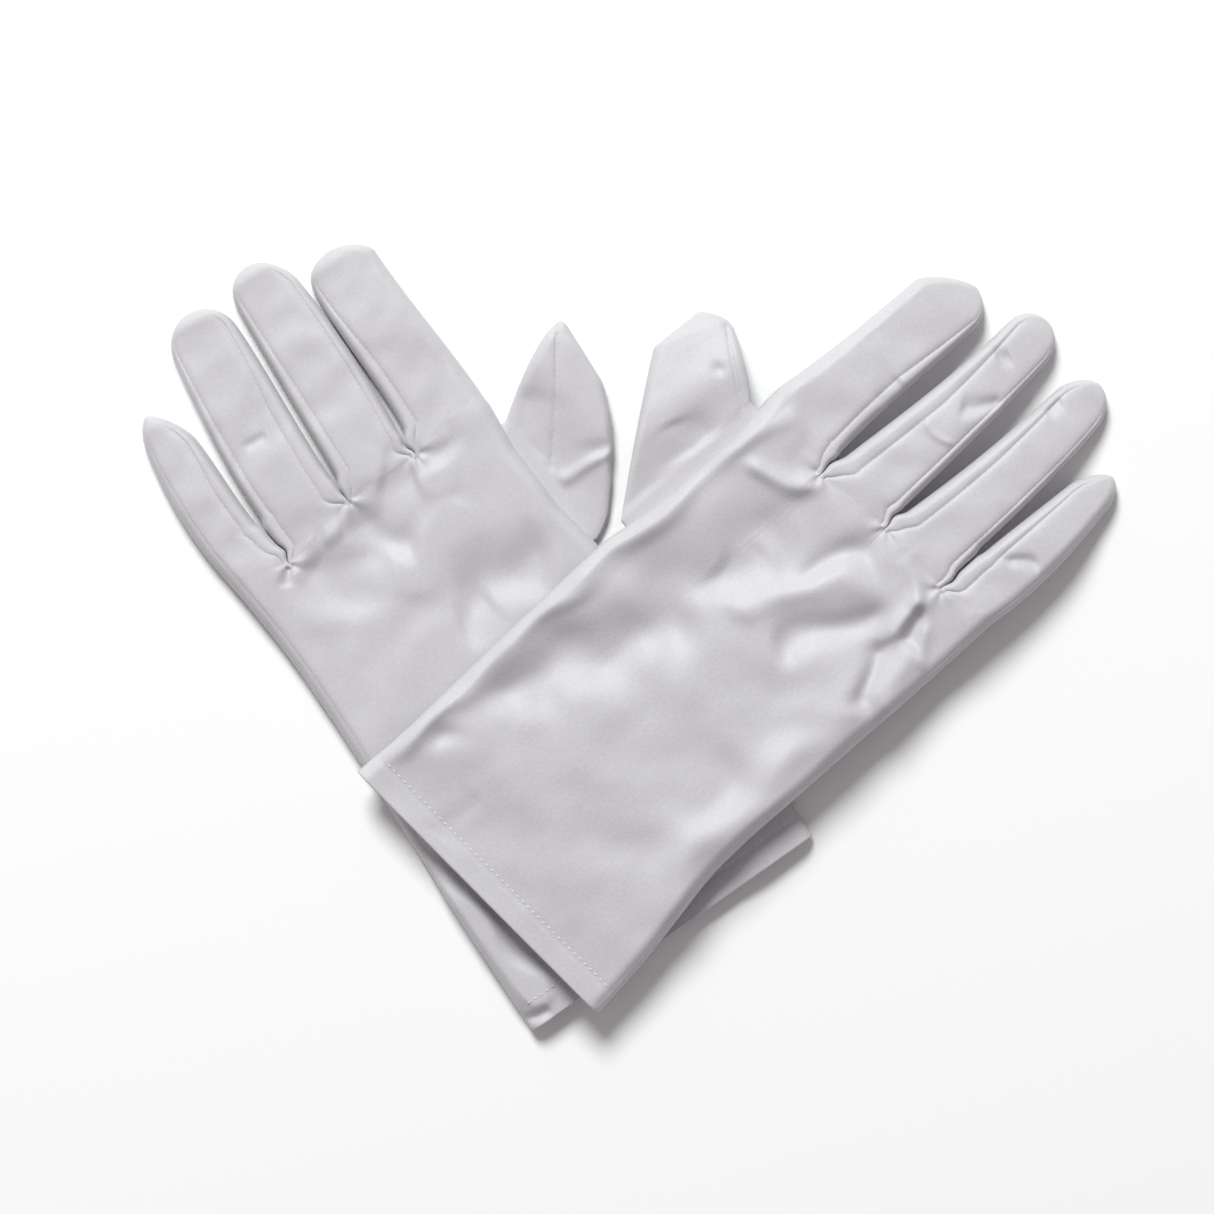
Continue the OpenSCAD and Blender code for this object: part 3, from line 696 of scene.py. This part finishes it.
def new_material(name):
    """An empty material: its node tree, its shader and the coordinates of its object."""
    material = bpy.data.materials.new(name)
    material.use_nodes = True
    tree = material.node_tree
    return material, tree, tree.nodes["Principled BSDF"], node(tree, "ShaderNodeTexCoord").outputs["Object"]


def finish_skin(tree, skin, bump, **values):
    """Sets a shader's own values, and its bump: height, strength and distance."""
    for key, value in values.items():
        skin.inputs[key].default_value = value
    height, strength, distance = bump
    raised = node(tree, "ShaderNodeBump", Strength=strength, Distance=distance, Height=height)
    tree.links.new(raised.outputs[0], skin.inputs["Normal"])


def satin(name, light, dark, turn):
    """Knitted satin: fine ribs along the glove, a faint grain and slow changes of tone."""
    material, tree, skin, where = new_material(name)
    turned = node(tree, "ShaderNodeMapping", where, Rotation=(0, 0, math.radians(turn))).outputs[0]
    stretched = node(tree, "ShaderNodeMapping", turned, Scale=(1.0, 0.55, 1.0)).outputs[0]
    slow, grain, rib = (made.outputs["Fac"] for made in (
        node(tree, "ShaderNodeTexNoise", turned, Scale=28.0, Detail=3.0, Roughness=0.5),
        node(tree, "ShaderNodeTexNoise", stretched, Scale=1500.0, Detail=2.0, Roughness=0.6),
        node(tree, "ShaderNodeTexWave", turned, wave_type="BANDS", bands_direction="X", wave_profile="SIN",
             **{"Scale": 640.0, "Distortion": 3.0, "Detail": 1.0, "Detail Scale": 3.0})))
    slow_part, grain_part, rib_height = 0.35, 0.65, 0.3
    fine = node(tree, "ShaderNodeMath", grain, grain_part, operation="MULTIPLY").outputs[0]
    mixed = node(tree, "ShaderNodeMath", slow, slow_part, fine, operation="MULTIPLY_ADD").outputs[0]
    tone = node(tree, "ShaderNodeMix", data_type="RGBA", blend_type="MIX", Factor=mixed)
    # data_type RGBA has its own pair of colour sockets
    colour_a, colour_b = [s for s in tone.inputs if s.type == "RGBA"]
    colour_a.default_value, colour_b.default_value = (*dark, 1), (*light, 1)
    tree.links.new([s for s in tone.outputs if s.type == "RGBA"][0], skin.inputs["Base Color"])
    height = node(tree, "ShaderNodeMath", rib, rib_height, grain, operation="MULTIPLY_ADD").outputs[0]
    finish_skin(tree, skin, (height, 0.6, 0.0001), **{
        "Roughness": 0.52, "Sheen Weight": 0.25, "Sheen Roughness": 0.4, "Specular IOR Level": 0.35})
    return material


def thread_material():
    """Twisted polyester thread, with painted shade darkening the grooves of its twist."""
    material, tree, skin, where = new_material("sewing_thread")
    twist_height_and_shade = node(tree, "ShaderNodeTexWave", where, wave_type="BANDS", bands_direction="DIAGONAL",
                 Scale=1800.0, Distortion=1.0).outputs["Fac"]
    # the thread's colour is darker where its twist is low: painted shade in the grooves between its plies
    groove_shade_ramp = node(tree, "ShaderNodeValToRGB", twist_height_and_shade)
    groove_shade_ramp.color_ramp.elements[0].color = (0.70, 0.69, 0.71, 1)
    groove_shade_ramp.color_ramp.elements[1].color = (0.90, 0.89, 0.91, 1)
    tree.links.new(groove_shade_ramp.outputs["Color"], skin.inputs["Base Color"])
    finish_skin(tree, skin, (twist_height_and_shade, 0.4, 0.00005), **{"Roughness": 0.45, "Sheen Weight": 0.2})
    return material


TONES = (0.64, 0.63, 0.65), (0.48, 0.46, 0.485)              # light and dark
# the side strips and crotches take a copy of the satin a touch lighter, as painted light where they catch
# more light; their ribs run across
LIT_SIDE_TONES = (0.645, 0.635, 0.655), (0.485, 0.465, 0.49)
WALE_TURN = {"left": 35.0, "right": -46.0}                   # the ribs run along each glove
SATIN = {g: satin(f"satin_{g}", *TONES, WALE_TURN[g]) for g in GLOVES}
LIT_SIDE_SATIN = {g: satin(f"side_satin_{g}", *LIT_SIDE_TONES, WALE_TURN[g] + 90) for g in GLOVES}
THREAD = thread_material()


def dress(obj, material, slot, *stands_for):
    """Gives a piece its material and hides the CAD nodes it stands for; slot is not used."""
    obj.data.materials.clear()
    obj.data.materials.append(material)
    if stands_for:
        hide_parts(*stands_for)
    return obj


# ---------------------------------------------------------------- one glove
UP, DOWN = (0, 0, 1), (0, 0, -1)
HAND_ROUND = 4.6        # radius of the hand's edges
WRIST_THIN, WRIST_REACH = 0.3, 32    # the hand is this much thinner at the wrist, and thickens over this
# Towards the knuckles the hand takes up the fingers' section: over what reach, and how far each part
# of the change is spread sideways; and it takes up their slope
KNUCKLE_BLENDS = ((18, 6.0), (7, 2.0), (2.2, None))
SLOPE_REACH = 20


def fingers_of(glove):
    """The four digits from little finger to index, each knowing where it meets its neighbours."""
    digits = []
    for name in FINGERS:
        axis, along = axis_of(glove, name)
        nodes = [n for n in frame["nodes"] if n.startswith(f"{glove}_{name}_f")]
        digits.append(Digit(glove, name, nodes, along, axis if glove == "left" else -axis))
    for one, other, lean, closed in zip(digits, digits[1:], LEANS[glove], CLOSED[glove]):
        back = ROOT_BACK * unit(one.along + other.along)
        crotch = (one.corner_b + other.corner_a) / 2 - back
        one.corner_b = other.corner_a = crotch
        one.root_b, other.root_a = crotch @ one.along, crotch @ other.along
        one.lean_b = other.lean_a = lean
        one.meets_b = other.meets_a = True
        settle_between(one, other, crotch, closed)
    return digits


def settle_between(one, other, crotch, closed):
    """Neighbouring fingers: closed up at the root, then side by side without touching."""
    for digit, neighbour, side, sign in ((one, other, 1, 1), (other, one, 0, -1)):
        root = crotch @ digit.along
        u = np.linspace(root, digit.tip, 400)
        mine = np.polyval((digit.edge_a, digit.edge_b)[side], u)
        far = np.linspace(crotch @ neighbour.along - 4, neighbour.tip + 4, 500)     # past both its ends
        edge = neighbour.plan(far, np.polyval((neighbour.edge_b, neighbour.edge_a)[side], far))
        theirs = np.interp(u, edge @ digit.along, edge @ digit.across)
        gap = (theirs - mine) * sign
        beside = smooth((min(digit.tip, (neighbour.tip * neighbour.along) @ digit.along) - u) / 6)
        wanted = lerp(SLIT, np.maximum(gap, CLEARANCE), smooth((u - root - closed) / 4))
        gives = (wanted - gap) / 2 * beside
        # both corners lie on the crotch itself
        middle = (crotch @ digit.across - mine[0]) * sign - SLIT / 2
        gives = lerp(-middle, gives, smooth((u - root) / 4))
        setattr(digit, ("yield_a", "yield_b")[side], (u, gives))


class Hand(Outline):
    """Back and palm of a hand, from the wrist to the digits' root rows."""
    EDGE_SLICES, OFF_CORNER, AVERAGED = 120, 0.5, 5    # its long edges are averages of slices
    STEPS = (0.45, 1.0, 0.42)   # spacing of its rows at the wrist, in the middle and at the knuckles
    EVENING = 0.55              # away from the knuckles its columns even out by this much
    SLOPE_ROWS = 4              # slopes at the knuckles are measured over this many rows

    def __init__(self, glove, digits, backs, palms):
        along = unit(sum(d.along for d in digits))
        sign = 1 if glove == "left" else -1
        across = sign * np.array([along[1], -along[0]])
        super().__init__([f"{glove}_hand"], along, across)
        edges = node_edges(f"{glove}_hand")
        fits = []
        for corner, digit_corner, column in ((self.corner_a, digits[0].corner_a, 0),
                                             (self.corner_b, digits[-1].corner_b, 1)):
            places = np.linspace(corner @ self.along + self.OFF_CORNER,
                                 digit_corner @ self.along - self.OFF_CORNER, self.EDGE_SLICES)
            line = slices(edges, self.along, self.across, places)[:, column]
            line = np.pad(line, self.AVERAGED, mode="reflect", reflect_type="odd")
            width = 2 * self.AVERAGED + 1
            fits.append((places, np.convolve(line, np.ones(width) / width, "valid")))
        self.side_a, self.side_b = fits
        self.glove, self.digits = glove, digits
        self.top_back = np.concatenate([b[0] for b in backs])
        self.top_palm = np.concatenate([p[0] for p in palms])
        # how the fingers' backs slope at their roots
        rises = np.concatenate([b[self.SLOPE_ROWS] - b[0] for b in backs])
        self.slopes = rises[:, 2] / np.linalg.norm(rises[:, :2], axis=1)
        self.length = np.linalg.norm(self.top_back[0, :2] - self.corner_a)
        self.t = spread(self.length, *self.STEPS)
        low, high = self.z_limits
        self.low, self.high, self.edge = low, high, lerp(low, high, EDGE_LEVEL)

    def side(self, edge, start, corner, t):
        """One long edge of the hand, from the wrist corner to a root corner."""
        u = lerp(start @ self.along, corner @ self.along, t)
        line = self.plan(u, np.interp(u, *edge))
        return line + lerp(start - line[0], corner - line[-1], t[:, None])

    def spread_columns(self, top):
        """Fraction across of each column, row by row, evening out away from the knuckles."""
        run = path_length(top[:, :2])
        knuckle = run / run[-1]
        even = lerp(knuckle, np.linspace(0, 1, len(top)), self.EVENING)
        return lerp(even[None], knuckle[None], smooth((self.t[:, None] - 0.55) / 0.45))

    def plan_grid(self, top):
        """Plan points between the hand's two long edges, and each one's fraction across."""
        s = self.spread_columns(top)
        t = self.t[:, None]
        side_a = self.side(self.side_a, self.corner_a, top[0, :2], self.t)
        side_b = self.side(self.side_b, self.corner_b, top[-1, :2], self.t)
        wrist = lerp(self.corner_a, self.corner_b, s[..., None])
        knuckle = np.broadcast_to(top[None, :, :2], (*s.shape, 2))
        straight_a, straight_b = lerp(self.corner_a, top[0, :2], t), lerp(self.corner_b, top[-1, :2], t)
        grid = lerp(wrist, knuckle, t[..., None])
        grid = grid + (1 - s)[..., None] * (side_a - straight_a)[:, None]
        grid = grid + s[..., None] * (side_b - straight_b)[:, None]
        return s, grid

    def outer_line(self, side, digit, column):
        """One long edge of the hand, run on a little way up the outer finger."""
        root = (digit.root_a, digit.root_b)[column]
        u = root + np.array([1.0, 5, 10, 15])
        return np.concatenate([side, digit.plan(u, digit.edges_at(u)[column])])

    def surface(self, top, back):
        """The hand's back or palm as a grid, from the wrist up to a top row."""
        _, xy = self.plan_grid(top)
        from_wrist = (self.t * self.length)[:, None]
        to_knuckle = ((1 - self.t) * self.length)[:, None]
        from_a, from_b = (nearest_on(xy, self.outer_line(xy[:, column], digit, column))[0]
                          for column, digit in ((0, self.digits[0]), (-1, self.digits[-1])))
        shoulder = side_round(from_a, HAND_ROUND) * side_round(from_b, HAND_ROUND)
        full = 1 - WRIST_THIN * (1 - smooth(from_wrist / WRIST_REACH))
        z = self.edge + (self.high - self.edge if back else self.low - self.edge) * full * shoulder
        if back:
            # the hem band stands a little proud, and its stitching pulls a shallow groove
            z = z + HEM_PROUD * shoulder * (1 - smooth((from_wrist - HEM_DEPTH + 1) / 1.2))
            z = z - HEM_PULL * shoulder * np.exp(-(((from_wrist - HEM_DEPTH + HEM_ROW) / 0.7) ** 2))
            z = z + SINGLE_SEAM * seam_dip(from_a - SIDE_SEAM[self.glove]) * smooth(from_wrist / 3)
            z = z + relief(self.glove, xy) * np.sqrt(shoulder)
            for number, digit in enumerate(self.digits[:-1]):
                apart = xy - digit.corner_b
                away = np.linalg.norm(apart, axis=-1)
                # no two crotches have their pleats at the same turn
                turn = PLEATS * np.arctan2(apart @ digit.across, -(apart @ digit.along)) + 1.7 * number
                pull = np.cos(turn + 0.6) * smooth(away / 3) * np.exp(-away / PLEAT_REACH)
                z = z + seam_dip(away - U_TURN) + PLEAT * pull * shoulder
        # at the knuckles the surface takes up the fingers' own section: its broad shape from a
        # long way off, and the narrow dips beside each slit only at the last
        run = path_length(top[:, :2])

        def broad(values, width):
            weight = np.exp(-(((run[:, None] - run) / width) ** 2)) * np.gradient(run)
            return (weight @ values) / weight.sum(1)
        change = top[:, 2] - z[-1]
        if back:
            last = -1 - self.SLOPE_ROWS
            behind = (z[-1] - z[last]) / np.linalg.norm(xy[-1] - xy[last], axis=1)
            bend = broad(self.slopes - behind, KNUCKLE_BLENDS[0][1])
            z = z - bend * to_knuckle * np.clip(1 - to_knuckle / SLOPE_REACH, 0, 1) ** 2
        for reach, width in KNUCKLE_BLENDS:
            part = broad(change, width) if width else change
            z = z + part * smooth(1 - to_knuckle / reach)
            change = change - part
        return np.dstack([xy, z])


COARSE = 6              # the draped cloth has every sixth row of the fine grids
COARSE_COLUMNS = np.array([0, 4, 9, 13, 18, 22, 26, 31, 35, 40, 44])    # and these of a finger's columns
SEAM_COLUMNS = [2, -3]  # those of them that lie on the finger's seams
DRAPE_FRAMES = 36
DRAPE_EASE = 0.04       # the draped satin is this much longer than its space
DRAPE_GRAVITY = 0.04    # a light pull, since the cloth's own length makes the folds
DRAPE_LIMIT = 1.0       # the drape moves no point further than this
HOLD_SEAM, HOLD_LOOSE = 0.6, 0.27    # how firmly seams and loose cloth are held to where they started
EVEN_HAND, EVEN_FINGER = 3.0, 2.0    # the drape is averaged over this radius
JOIN_REACH = 11                      # and the hand's comes round to the fingers' over this


def drape(glove, back, backs):
    """Simulates the satin of a glove's back, a little longer than the space it lies in, so that it
    settles into its own soft folds; returns the heights it adds to each fine grid."""
    grids = [back, *backs]
    rows_of = [np.unique(np.append(np.arange(0, len(g) - 1, COARSE), len(g) - 1)) for g in grids]
    hand_columns = np.concatenate([k * len(backs[0][0]) + COARSE_COLUMNS for k in range(len(backs))])
    picks = list(zip(rows_of, [hand_columns] + [COARSE_COLUMNS] * len(backs)))
    coarse = Cloth()
    held = []
    for grid, (rows, cols) in zip(grids, picks):
        coarse.grid(grid[np.ix_(rows, cols)], "cloth", UP)
        hold = np.full((len(rows), len(cols)), HOLD_LOOSE)
        if grid is back:
            # the wrist edge and the crotches
            hold[0] = 1
            for near in range(len(COARSE_COLUMNS), len(cols), len(COARSE_COLUMNS)):
                hold[-1, near - 1: near + 1] = 1
        else:
            hold[:, SEAM_COLUMNS] = HOLD_SEAM
            hold[-1] = 1
        hold[:, [0, -1]] = 1
        held.append(hold.ravel())
    coarse.weld()
    hold = np.zeros(len(coarse.at))
    np.maximum.at(hold, coarse.of, np.concatenate(held))
    sheet = new_mesh(f"{glove}_drape", coarse.at, whole_faces(coarse.faces))
    group = sheet.vertex_groups.new(name="held")
    for i, weight in enumerate(hold):
        group.add([i], float(weight), "REPLACE")
    cloth = sheet.modifiers.new("Cloth", "CLOTH")
    settings = cloth.settings
    settings.quality, settings.mass, settings.air_damping = 8, 0.12, 2.0
    settings.tension_stiffness = settings.compression_stiffness = 12
    settings.shear_stiffness, settings.bending_stiffness = 4, 0.2
    settings.shrink_min = -DRAPE_EASE
    settings.vertex_group_mass, settings.pin_stiffness = "held", 1.0
    settings.effector_weights.gravity = DRAPE_GRAVITY
    cloth.collision_settings.use_collision = False
    cloth.point_cache.frame_start, cloth.point_cache.frame_end = 1, DRAPE_FRAMES
    scene = bpy.context.scene
    for number in range(1, DRAPE_FRAMES + 1):
        scene.frame_set(number)
    settled = sheet.evaluated_get(bpy.context.evaluated_depsgraph_get()).data
    moved = (points_of(settled) - coarse.at)[:, 2]
    scene.frame_set(1)
    bpy.data.objects.remove(sheet)
    moved = DRAPE_LIMIT * np.tanh(moved / DRAPE_LIMIT)[coarse.of]
    added, start = [], 0
    for grid, (rows, cols) in zip(grids, picks):
        count = len(rows) * len(cols)
        places = grid[np.ix_(rows, cols)][..., :2]
        values = evened(moved[start: start + count], places, EVEN_HAND if grid is back else EVEN_FINGER)
        start += count
        added.append(refined(values, rows, cols, grid.shape[:2]))
    # the hand's last rows come round to the fingers' first
    short = np.concatenate([a[0] for a in added[1:]]) - added[0][-1]
    run = np.linalg.norm(back[-1:, :, :2] - back[:, :, :2], axis=-1)
    added[0] += short * smooth(1 - run / JOIN_REACH)
    return added


def evened(values, places, radius):
    """Values at a coarse grid's points, averaged over the cloth round each of them."""
    area = (np.linalg.norm(np.gradient(places, axis=0), axis=-1)
            * np.linalg.norm(np.gradient(places, axis=1), axis=-1)).ravel() + 1e-6
    flat = places.reshape(-1, 2)
    apart = ((flat[:, None] - flat[None]) ** 2).sum(-1)
    weight = np.exp(-apart / (2 * radius**2)) * area
    return ((weight @ values) / weight.sum(1)).reshape(places.shape[:2])


def refined(values, rows, cols, shape):
    """Values at some rows and columns of a grid, spread smoothly over all of it."""
    full = along_line(values, rows, np.arange(shape[0]))
    full = along_line(full.T, cols, np.arange(shape[1])).T
    edge = full[:, [0, -1]].copy(), full[[0, -1]].copy()
    for axis, passes in enumerate((16, 10)):
        for _ in range(passes):
            full = np.moveaxis(smoothed(np.moveaxis(full, axis, 0)), 0, axis)
    full[:, [0, -1]] = edge[0]
    full[[0, -1]] = edge[1]
    return full


FREE_HEIGHT, PRESSED = 0.2, 0.4      # folds under the other glove rise freely, then only this much more
WALL_ROWS = 9                        # rows of a gusset's wall, and of the roll at the wrist edge


def build_glove(glove):
    """The welded cloth of one glove, its hand, digits and thumb, and the grids its stitching follows."""
    digits = fingers_of(glove)
    backs, palms = [d.back() for d in digits], [d.palm() for d in digits]
    hand = Hand(glove, digits, backs, palms)
    back, palm = hand.surface(hand.top_back, True), hand.surface(hand.top_palm, False)
    back[-1], palm[-1] = hand.top_back, hand.top_palm
    palm[:, 0], palm[:, -1] = back[:, 0], back[:, -1]
    for grid, added in zip([back, *backs], drape(glove, back, backs)):
        grid[..., 2] += added
    if glove == "left":
        # the right glove lies on this one and keeps its folds low
        for grid in (back, *backs):
            proud = grid[..., 2] - hand.high - FREE_HEIGHT
            grid[..., 2] -= np.where(proud > 0, proud - PRESSED * np.tanh(proud / PRESSED), 0)
    # the hand's last row is the fingers' first
    back[-1] = np.concatenate([b[0] for b in backs])
    cloth = Cloth()
    cloth.grid(back, "hand", UP)
    cloth.grid(palm, "hand", DOWN)
    for digit, top, under in zip(digits, backs, palms):
        name = digit.name
        side_a = f"{name}_side_a" if digit.meets_a else name
        side_b = f"{name}_side_b" if digit.meets_b else name
        cloth.grid(top, [side_a] * SIDE_CELLS + [name] * BACK_CELLS + [side_b] * SIDE_CELLS, UP)
        middle = PALM_CELLS - 2 * PALM_SIDE_CELLS
        cloth.grid(under, [side_a] * PALM_SIDE_CELLS + [name] * middle + [side_b] * PALM_SIDE_CELLS, DOWN)
    for k, (one, other) in enumerate(zip(digits, digits[1:])):
        n, m = one.gusset_rows(one.root_b), other.gusset_rows(other.root_a)
        rims = [np.concatenate([g[k][n::-1, -1], g[k + 1][: m + 1, 0]]) for g in (backs, palms)]
        wall = lerp(rims[0], rims[1], np.linspace(0, 1, WALL_ROWS)[:, None, None])
        cloth.grid(wall, f"crotch_{other.name}_{one.name}", (*one.across, 0))
    thumb = Thumb(glove, hand.edge)
    cloth.grid(thumb.surface(True), "thumb", UP)
    cloth.grid(thumb.surface(False), "thumb", DOWN)
    roll_and_band(cloth, hand, back, palm)
    cloth.weld()
    return cloth, hand, digits, thumb, back, palm, backs


def upward_normals(grid):
    """The upward normal at every point of a grid."""
    normal = np.cross(np.gradient(grid, axis=1), np.gradient(grid, axis=0))
    normal /= np.linalg.norm(normal, axis=-1, keepdims=True) + 1e-9
    return normal * np.where(normal[..., 2:] < 0, -1, 1)


def roll_and_band(cloth, hand, back, palm):
    """The wrist hem: the cloth rolls inwards round the edge and lies back inside the glove."""
    rows = int(np.searchsorted(hand.t * hand.length, HEM_DEPTH)) + 1
    for face, side, facing in ((back, 1, DOWN), (palm, -1, UP)):
        normal = upward_normals(face[: rows + 2]) * side
        ahead = np.gradient(face[: rows + 2], axis=0)
        ahead /= np.linalg.norm(ahead, axis=-1, keepdims=True)
        roll = [face[0] - normal[0] * HEM_ROLL * (1 - math.cos(x)) - ahead[0] * HEM_ROLL * math.sin(x)
                for x in np.linspace(0, math.pi, WALL_ROWS)]
        band = [face[i] - 2 * HEM_ROLL * normal[i] for i in range(1, rows + 1)]
        cloth.grid(np.array(roll + band), "hem", facing)


def fold_from(piece):
    """Bakes a piece's place into its mesh; it is not made to bend or turn with its digit."""
    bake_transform(piece)


FOURCHETTES = {
    "little": {"b": "little_fourchette"},
    "ring": {"a": "ring_fourchette_outer", "b": "ring_fourchette_inner"},
    "middle": {"a": "middle_fourchette_outer", "b": "middle_fourchette_inner"},
    "index": {"a": "index_fourchette"},
}
# Stitches: pitch, length, radius, and lift of their middles off the cloth
SEAM_STITCH = (2.0, 1.3, 0.1, -0.05)
SIDE_STITCH = (2.3, 1.4, 0.1, -0.05)
HEM_STITCH = (2.15, 1.35, 0.17, 0.06)


def line_normals(grid, column, ends=slice(None)):
    """A column of a grid, or part of it, as a line with its upward normals."""
    return grid[ends, column], upward_normals(grid)[ends, column]


def drape_line(grid, points):
    """Points in plan laid on a grid's surface by its nearest vertices, with their normals."""
    line = curve_through(points, 120)
    normal = upward_normals(grid).reshape(-1, 3)
    flat = grid.reshape(-1, 3)
    away = ((flat[None, :, :2] - line[:, None]) ** 2).sum(-1)
    near = np.argsort(away, axis=1)[:, :4]
    weight = 1 / (np.take_along_axis(away, near, 1) + 1e-3)
    weight /= weight.sum(1, keepdims=True)
    height = (flat[near, 2] * weight).sum(1)
    return np.column_stack([line, height]), (normal[near] * weight[..., None]).sum(1)


def column_for(grid, inset):
    """The column whose distance from edge a, halfway along, is nearest to inset."""
    row = grid[len(grid) // 2]
    return int(np.argmin(np.abs(np.linalg.norm(row - row[0], axis=1) - inset)))


def piece_of(cloth, glove, label, node_name, side=False):
    """A piece of cloth that stands for a CAD node; side is for the strips at a finger's sides and the
    crotches, which take the satin a shade lighter as painted light.
    """
    piece = cut_piece(cloth, f"{glove}_{node_name}_cloth", label)
    # side strips and crotches get the lighter copy of the satin: painted light
    material, slot = (LIT_SIDE_SATIN[glove], "satin_side_strip") if side else (SATIN[glove], "satin")
    return dress(piece, material, slot, f"{glove}_{node_name}")


def sew(name, lines, stitch, node_name):
    """Rows of stitches that stand for a CAD node."""
    return dress(stitches(name, lines, *stitch), THREAD, "sewing_thread", node_name)


for glove in GLOVES:
    cloth, hand, digits, thumb, back, palm, backs = build_glove(glove)
    body = f"{glove}_glove"
    for name in ("hand", "hem"):
        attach(piece_of(cloth, glove, name, name), body)
    for one, other in zip(digits, digits[1:]):
        name = f"crotch_{other.name}_{one.name}"
        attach(piece_of(cloth, glove, name, name, side=True), body)
    for digit, grid in zip(digits, backs):
        name = digit.name
        fold_from(piece_of(cloth, glove, name, f"{name}_finger"))
        for side, node_name in FOURCHETTES[name].items():
            piece = piece_of(cloth, glove, f"{name}_side_{side}", node_name, side=True)
            fold_from(piece)
        # the stitches leave out the bottom of the crotch and the last 5 mm of the tip
        rows = slice(3, int(np.searchsorted(digit.t, 1 - 5 / digit.length)))
        lines = [line_normals(grid, column, rows) for meets, column in
                 ((digit.meets_a, SIDE_CELLS), (digit.meets_b, -SIDE_CELLS - 1)) if meets]
        thread = sew(f"{glove}_{name}_seam_stitches", lines, SEAM_STITCH, f"{glove}_{name}_seam_thread")
        fold_from(thread)
    fold_from(piece_of(cloth, glove, "thumb", "thumb"))
    lines = [drape_line(thumb.surface(True), THUMB_SEAM[glove])]
    thread = sew(f"{glove}_thumb_seam_stitches", lines, SEAM_STITCH, f"{glove}_thumb_seam_thread")
    fold_from(thread)
    hem_row = int(np.searchsorted(hand.t * hand.length, HEM_DEPTH - HEM_ROW))
    over, under = (line_normals(g.transpose(1, 0, 2), hem_row, slice(6, -6)) for g in (back, palm))
    lines = [over, (under[0], -under[1])]
    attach(sew(f"{glove}_hem_row", lines, HEM_STITCH, f"{glove}_hem_stitches"), body)
    lines = [line_normals(back, column_for(back, SIDE_SEAM[glove]), slice(6, -4))]
    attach(sew(f"{glove}_side_seam_row", lines, SIDE_STITCH, f"{glove}_side_seam"), body)


# ---------------------------------------------------------------- stage, light, camera
VIEW_CENTRE, VIEW_WIDTH = (-0.0065, 0.0085), 0.3575    # what the camera sees, in metres


def stage():
    """A pale table, one large soft lamp in an even studio, and the camera straight above."""
    mesh = bpy.data.meshes.new("table")
    size = 4.0
    corners = [(-size, -size, 0), (size, -size, 0), (size, size, 0), (-size, size, 0)]
    mesh.from_pydata(corners, [], [(0, 1, 2, 3)])
    table = add_object("table", mesh)
    paint = bpy.data.materials.new("table_paint")
    paint.use_nodes = True
    skin = paint.node_tree.nodes["Principled BSDF"]
    skin.inputs["Base Color"].default_value = (0.93, 0.93, 0.93, 1)
    skin.inputs["Roughness"].default_value = 0.8
    skin.inputs["Specular IOR Level"].default_value = 0.1
    mesh.materials.append(paint)

    world = bpy.data.worlds.new("studio")
    world.use_nodes = True
    background = world.node_tree.nodes["Background"]
    background.inputs["Color"].default_value = (1.0, 0.94, 0.975, 1)
    background.inputs["Strength"].default_value = 0.32
    bpy.context.scene.world = world

    lamp = bpy.data.lights.new("key_light", "AREA")
    lamp.shape, lamp.size, lamp.energy, lamp.color = "DISK", 1.3, 126, (0.97, 1.0, 0.985)
    key = add_object("key_light", lamp)
    key.location = (-0.65, 2.3, 2.4)
    key.rotation_euler = (-key.location.normalized()).to_track_quat("-Z", "Y").to_euler()

    camera = bpy.data.cameras.new("camera")
    camera.lens, camera.sensor_width = 120, 36
    seen = add_object("camera", camera)
    middle_height = (cad_low.z + cad_high.z) / 2
    seen.location = (*VIEW_CENTRE, middle_height + VIEW_WIDTH * camera.lens / camera.sensor_width)
    bpy.context.scene.camera = seen
    bpy.context.scene.view_settings.view_transform = "Standard"


stage()
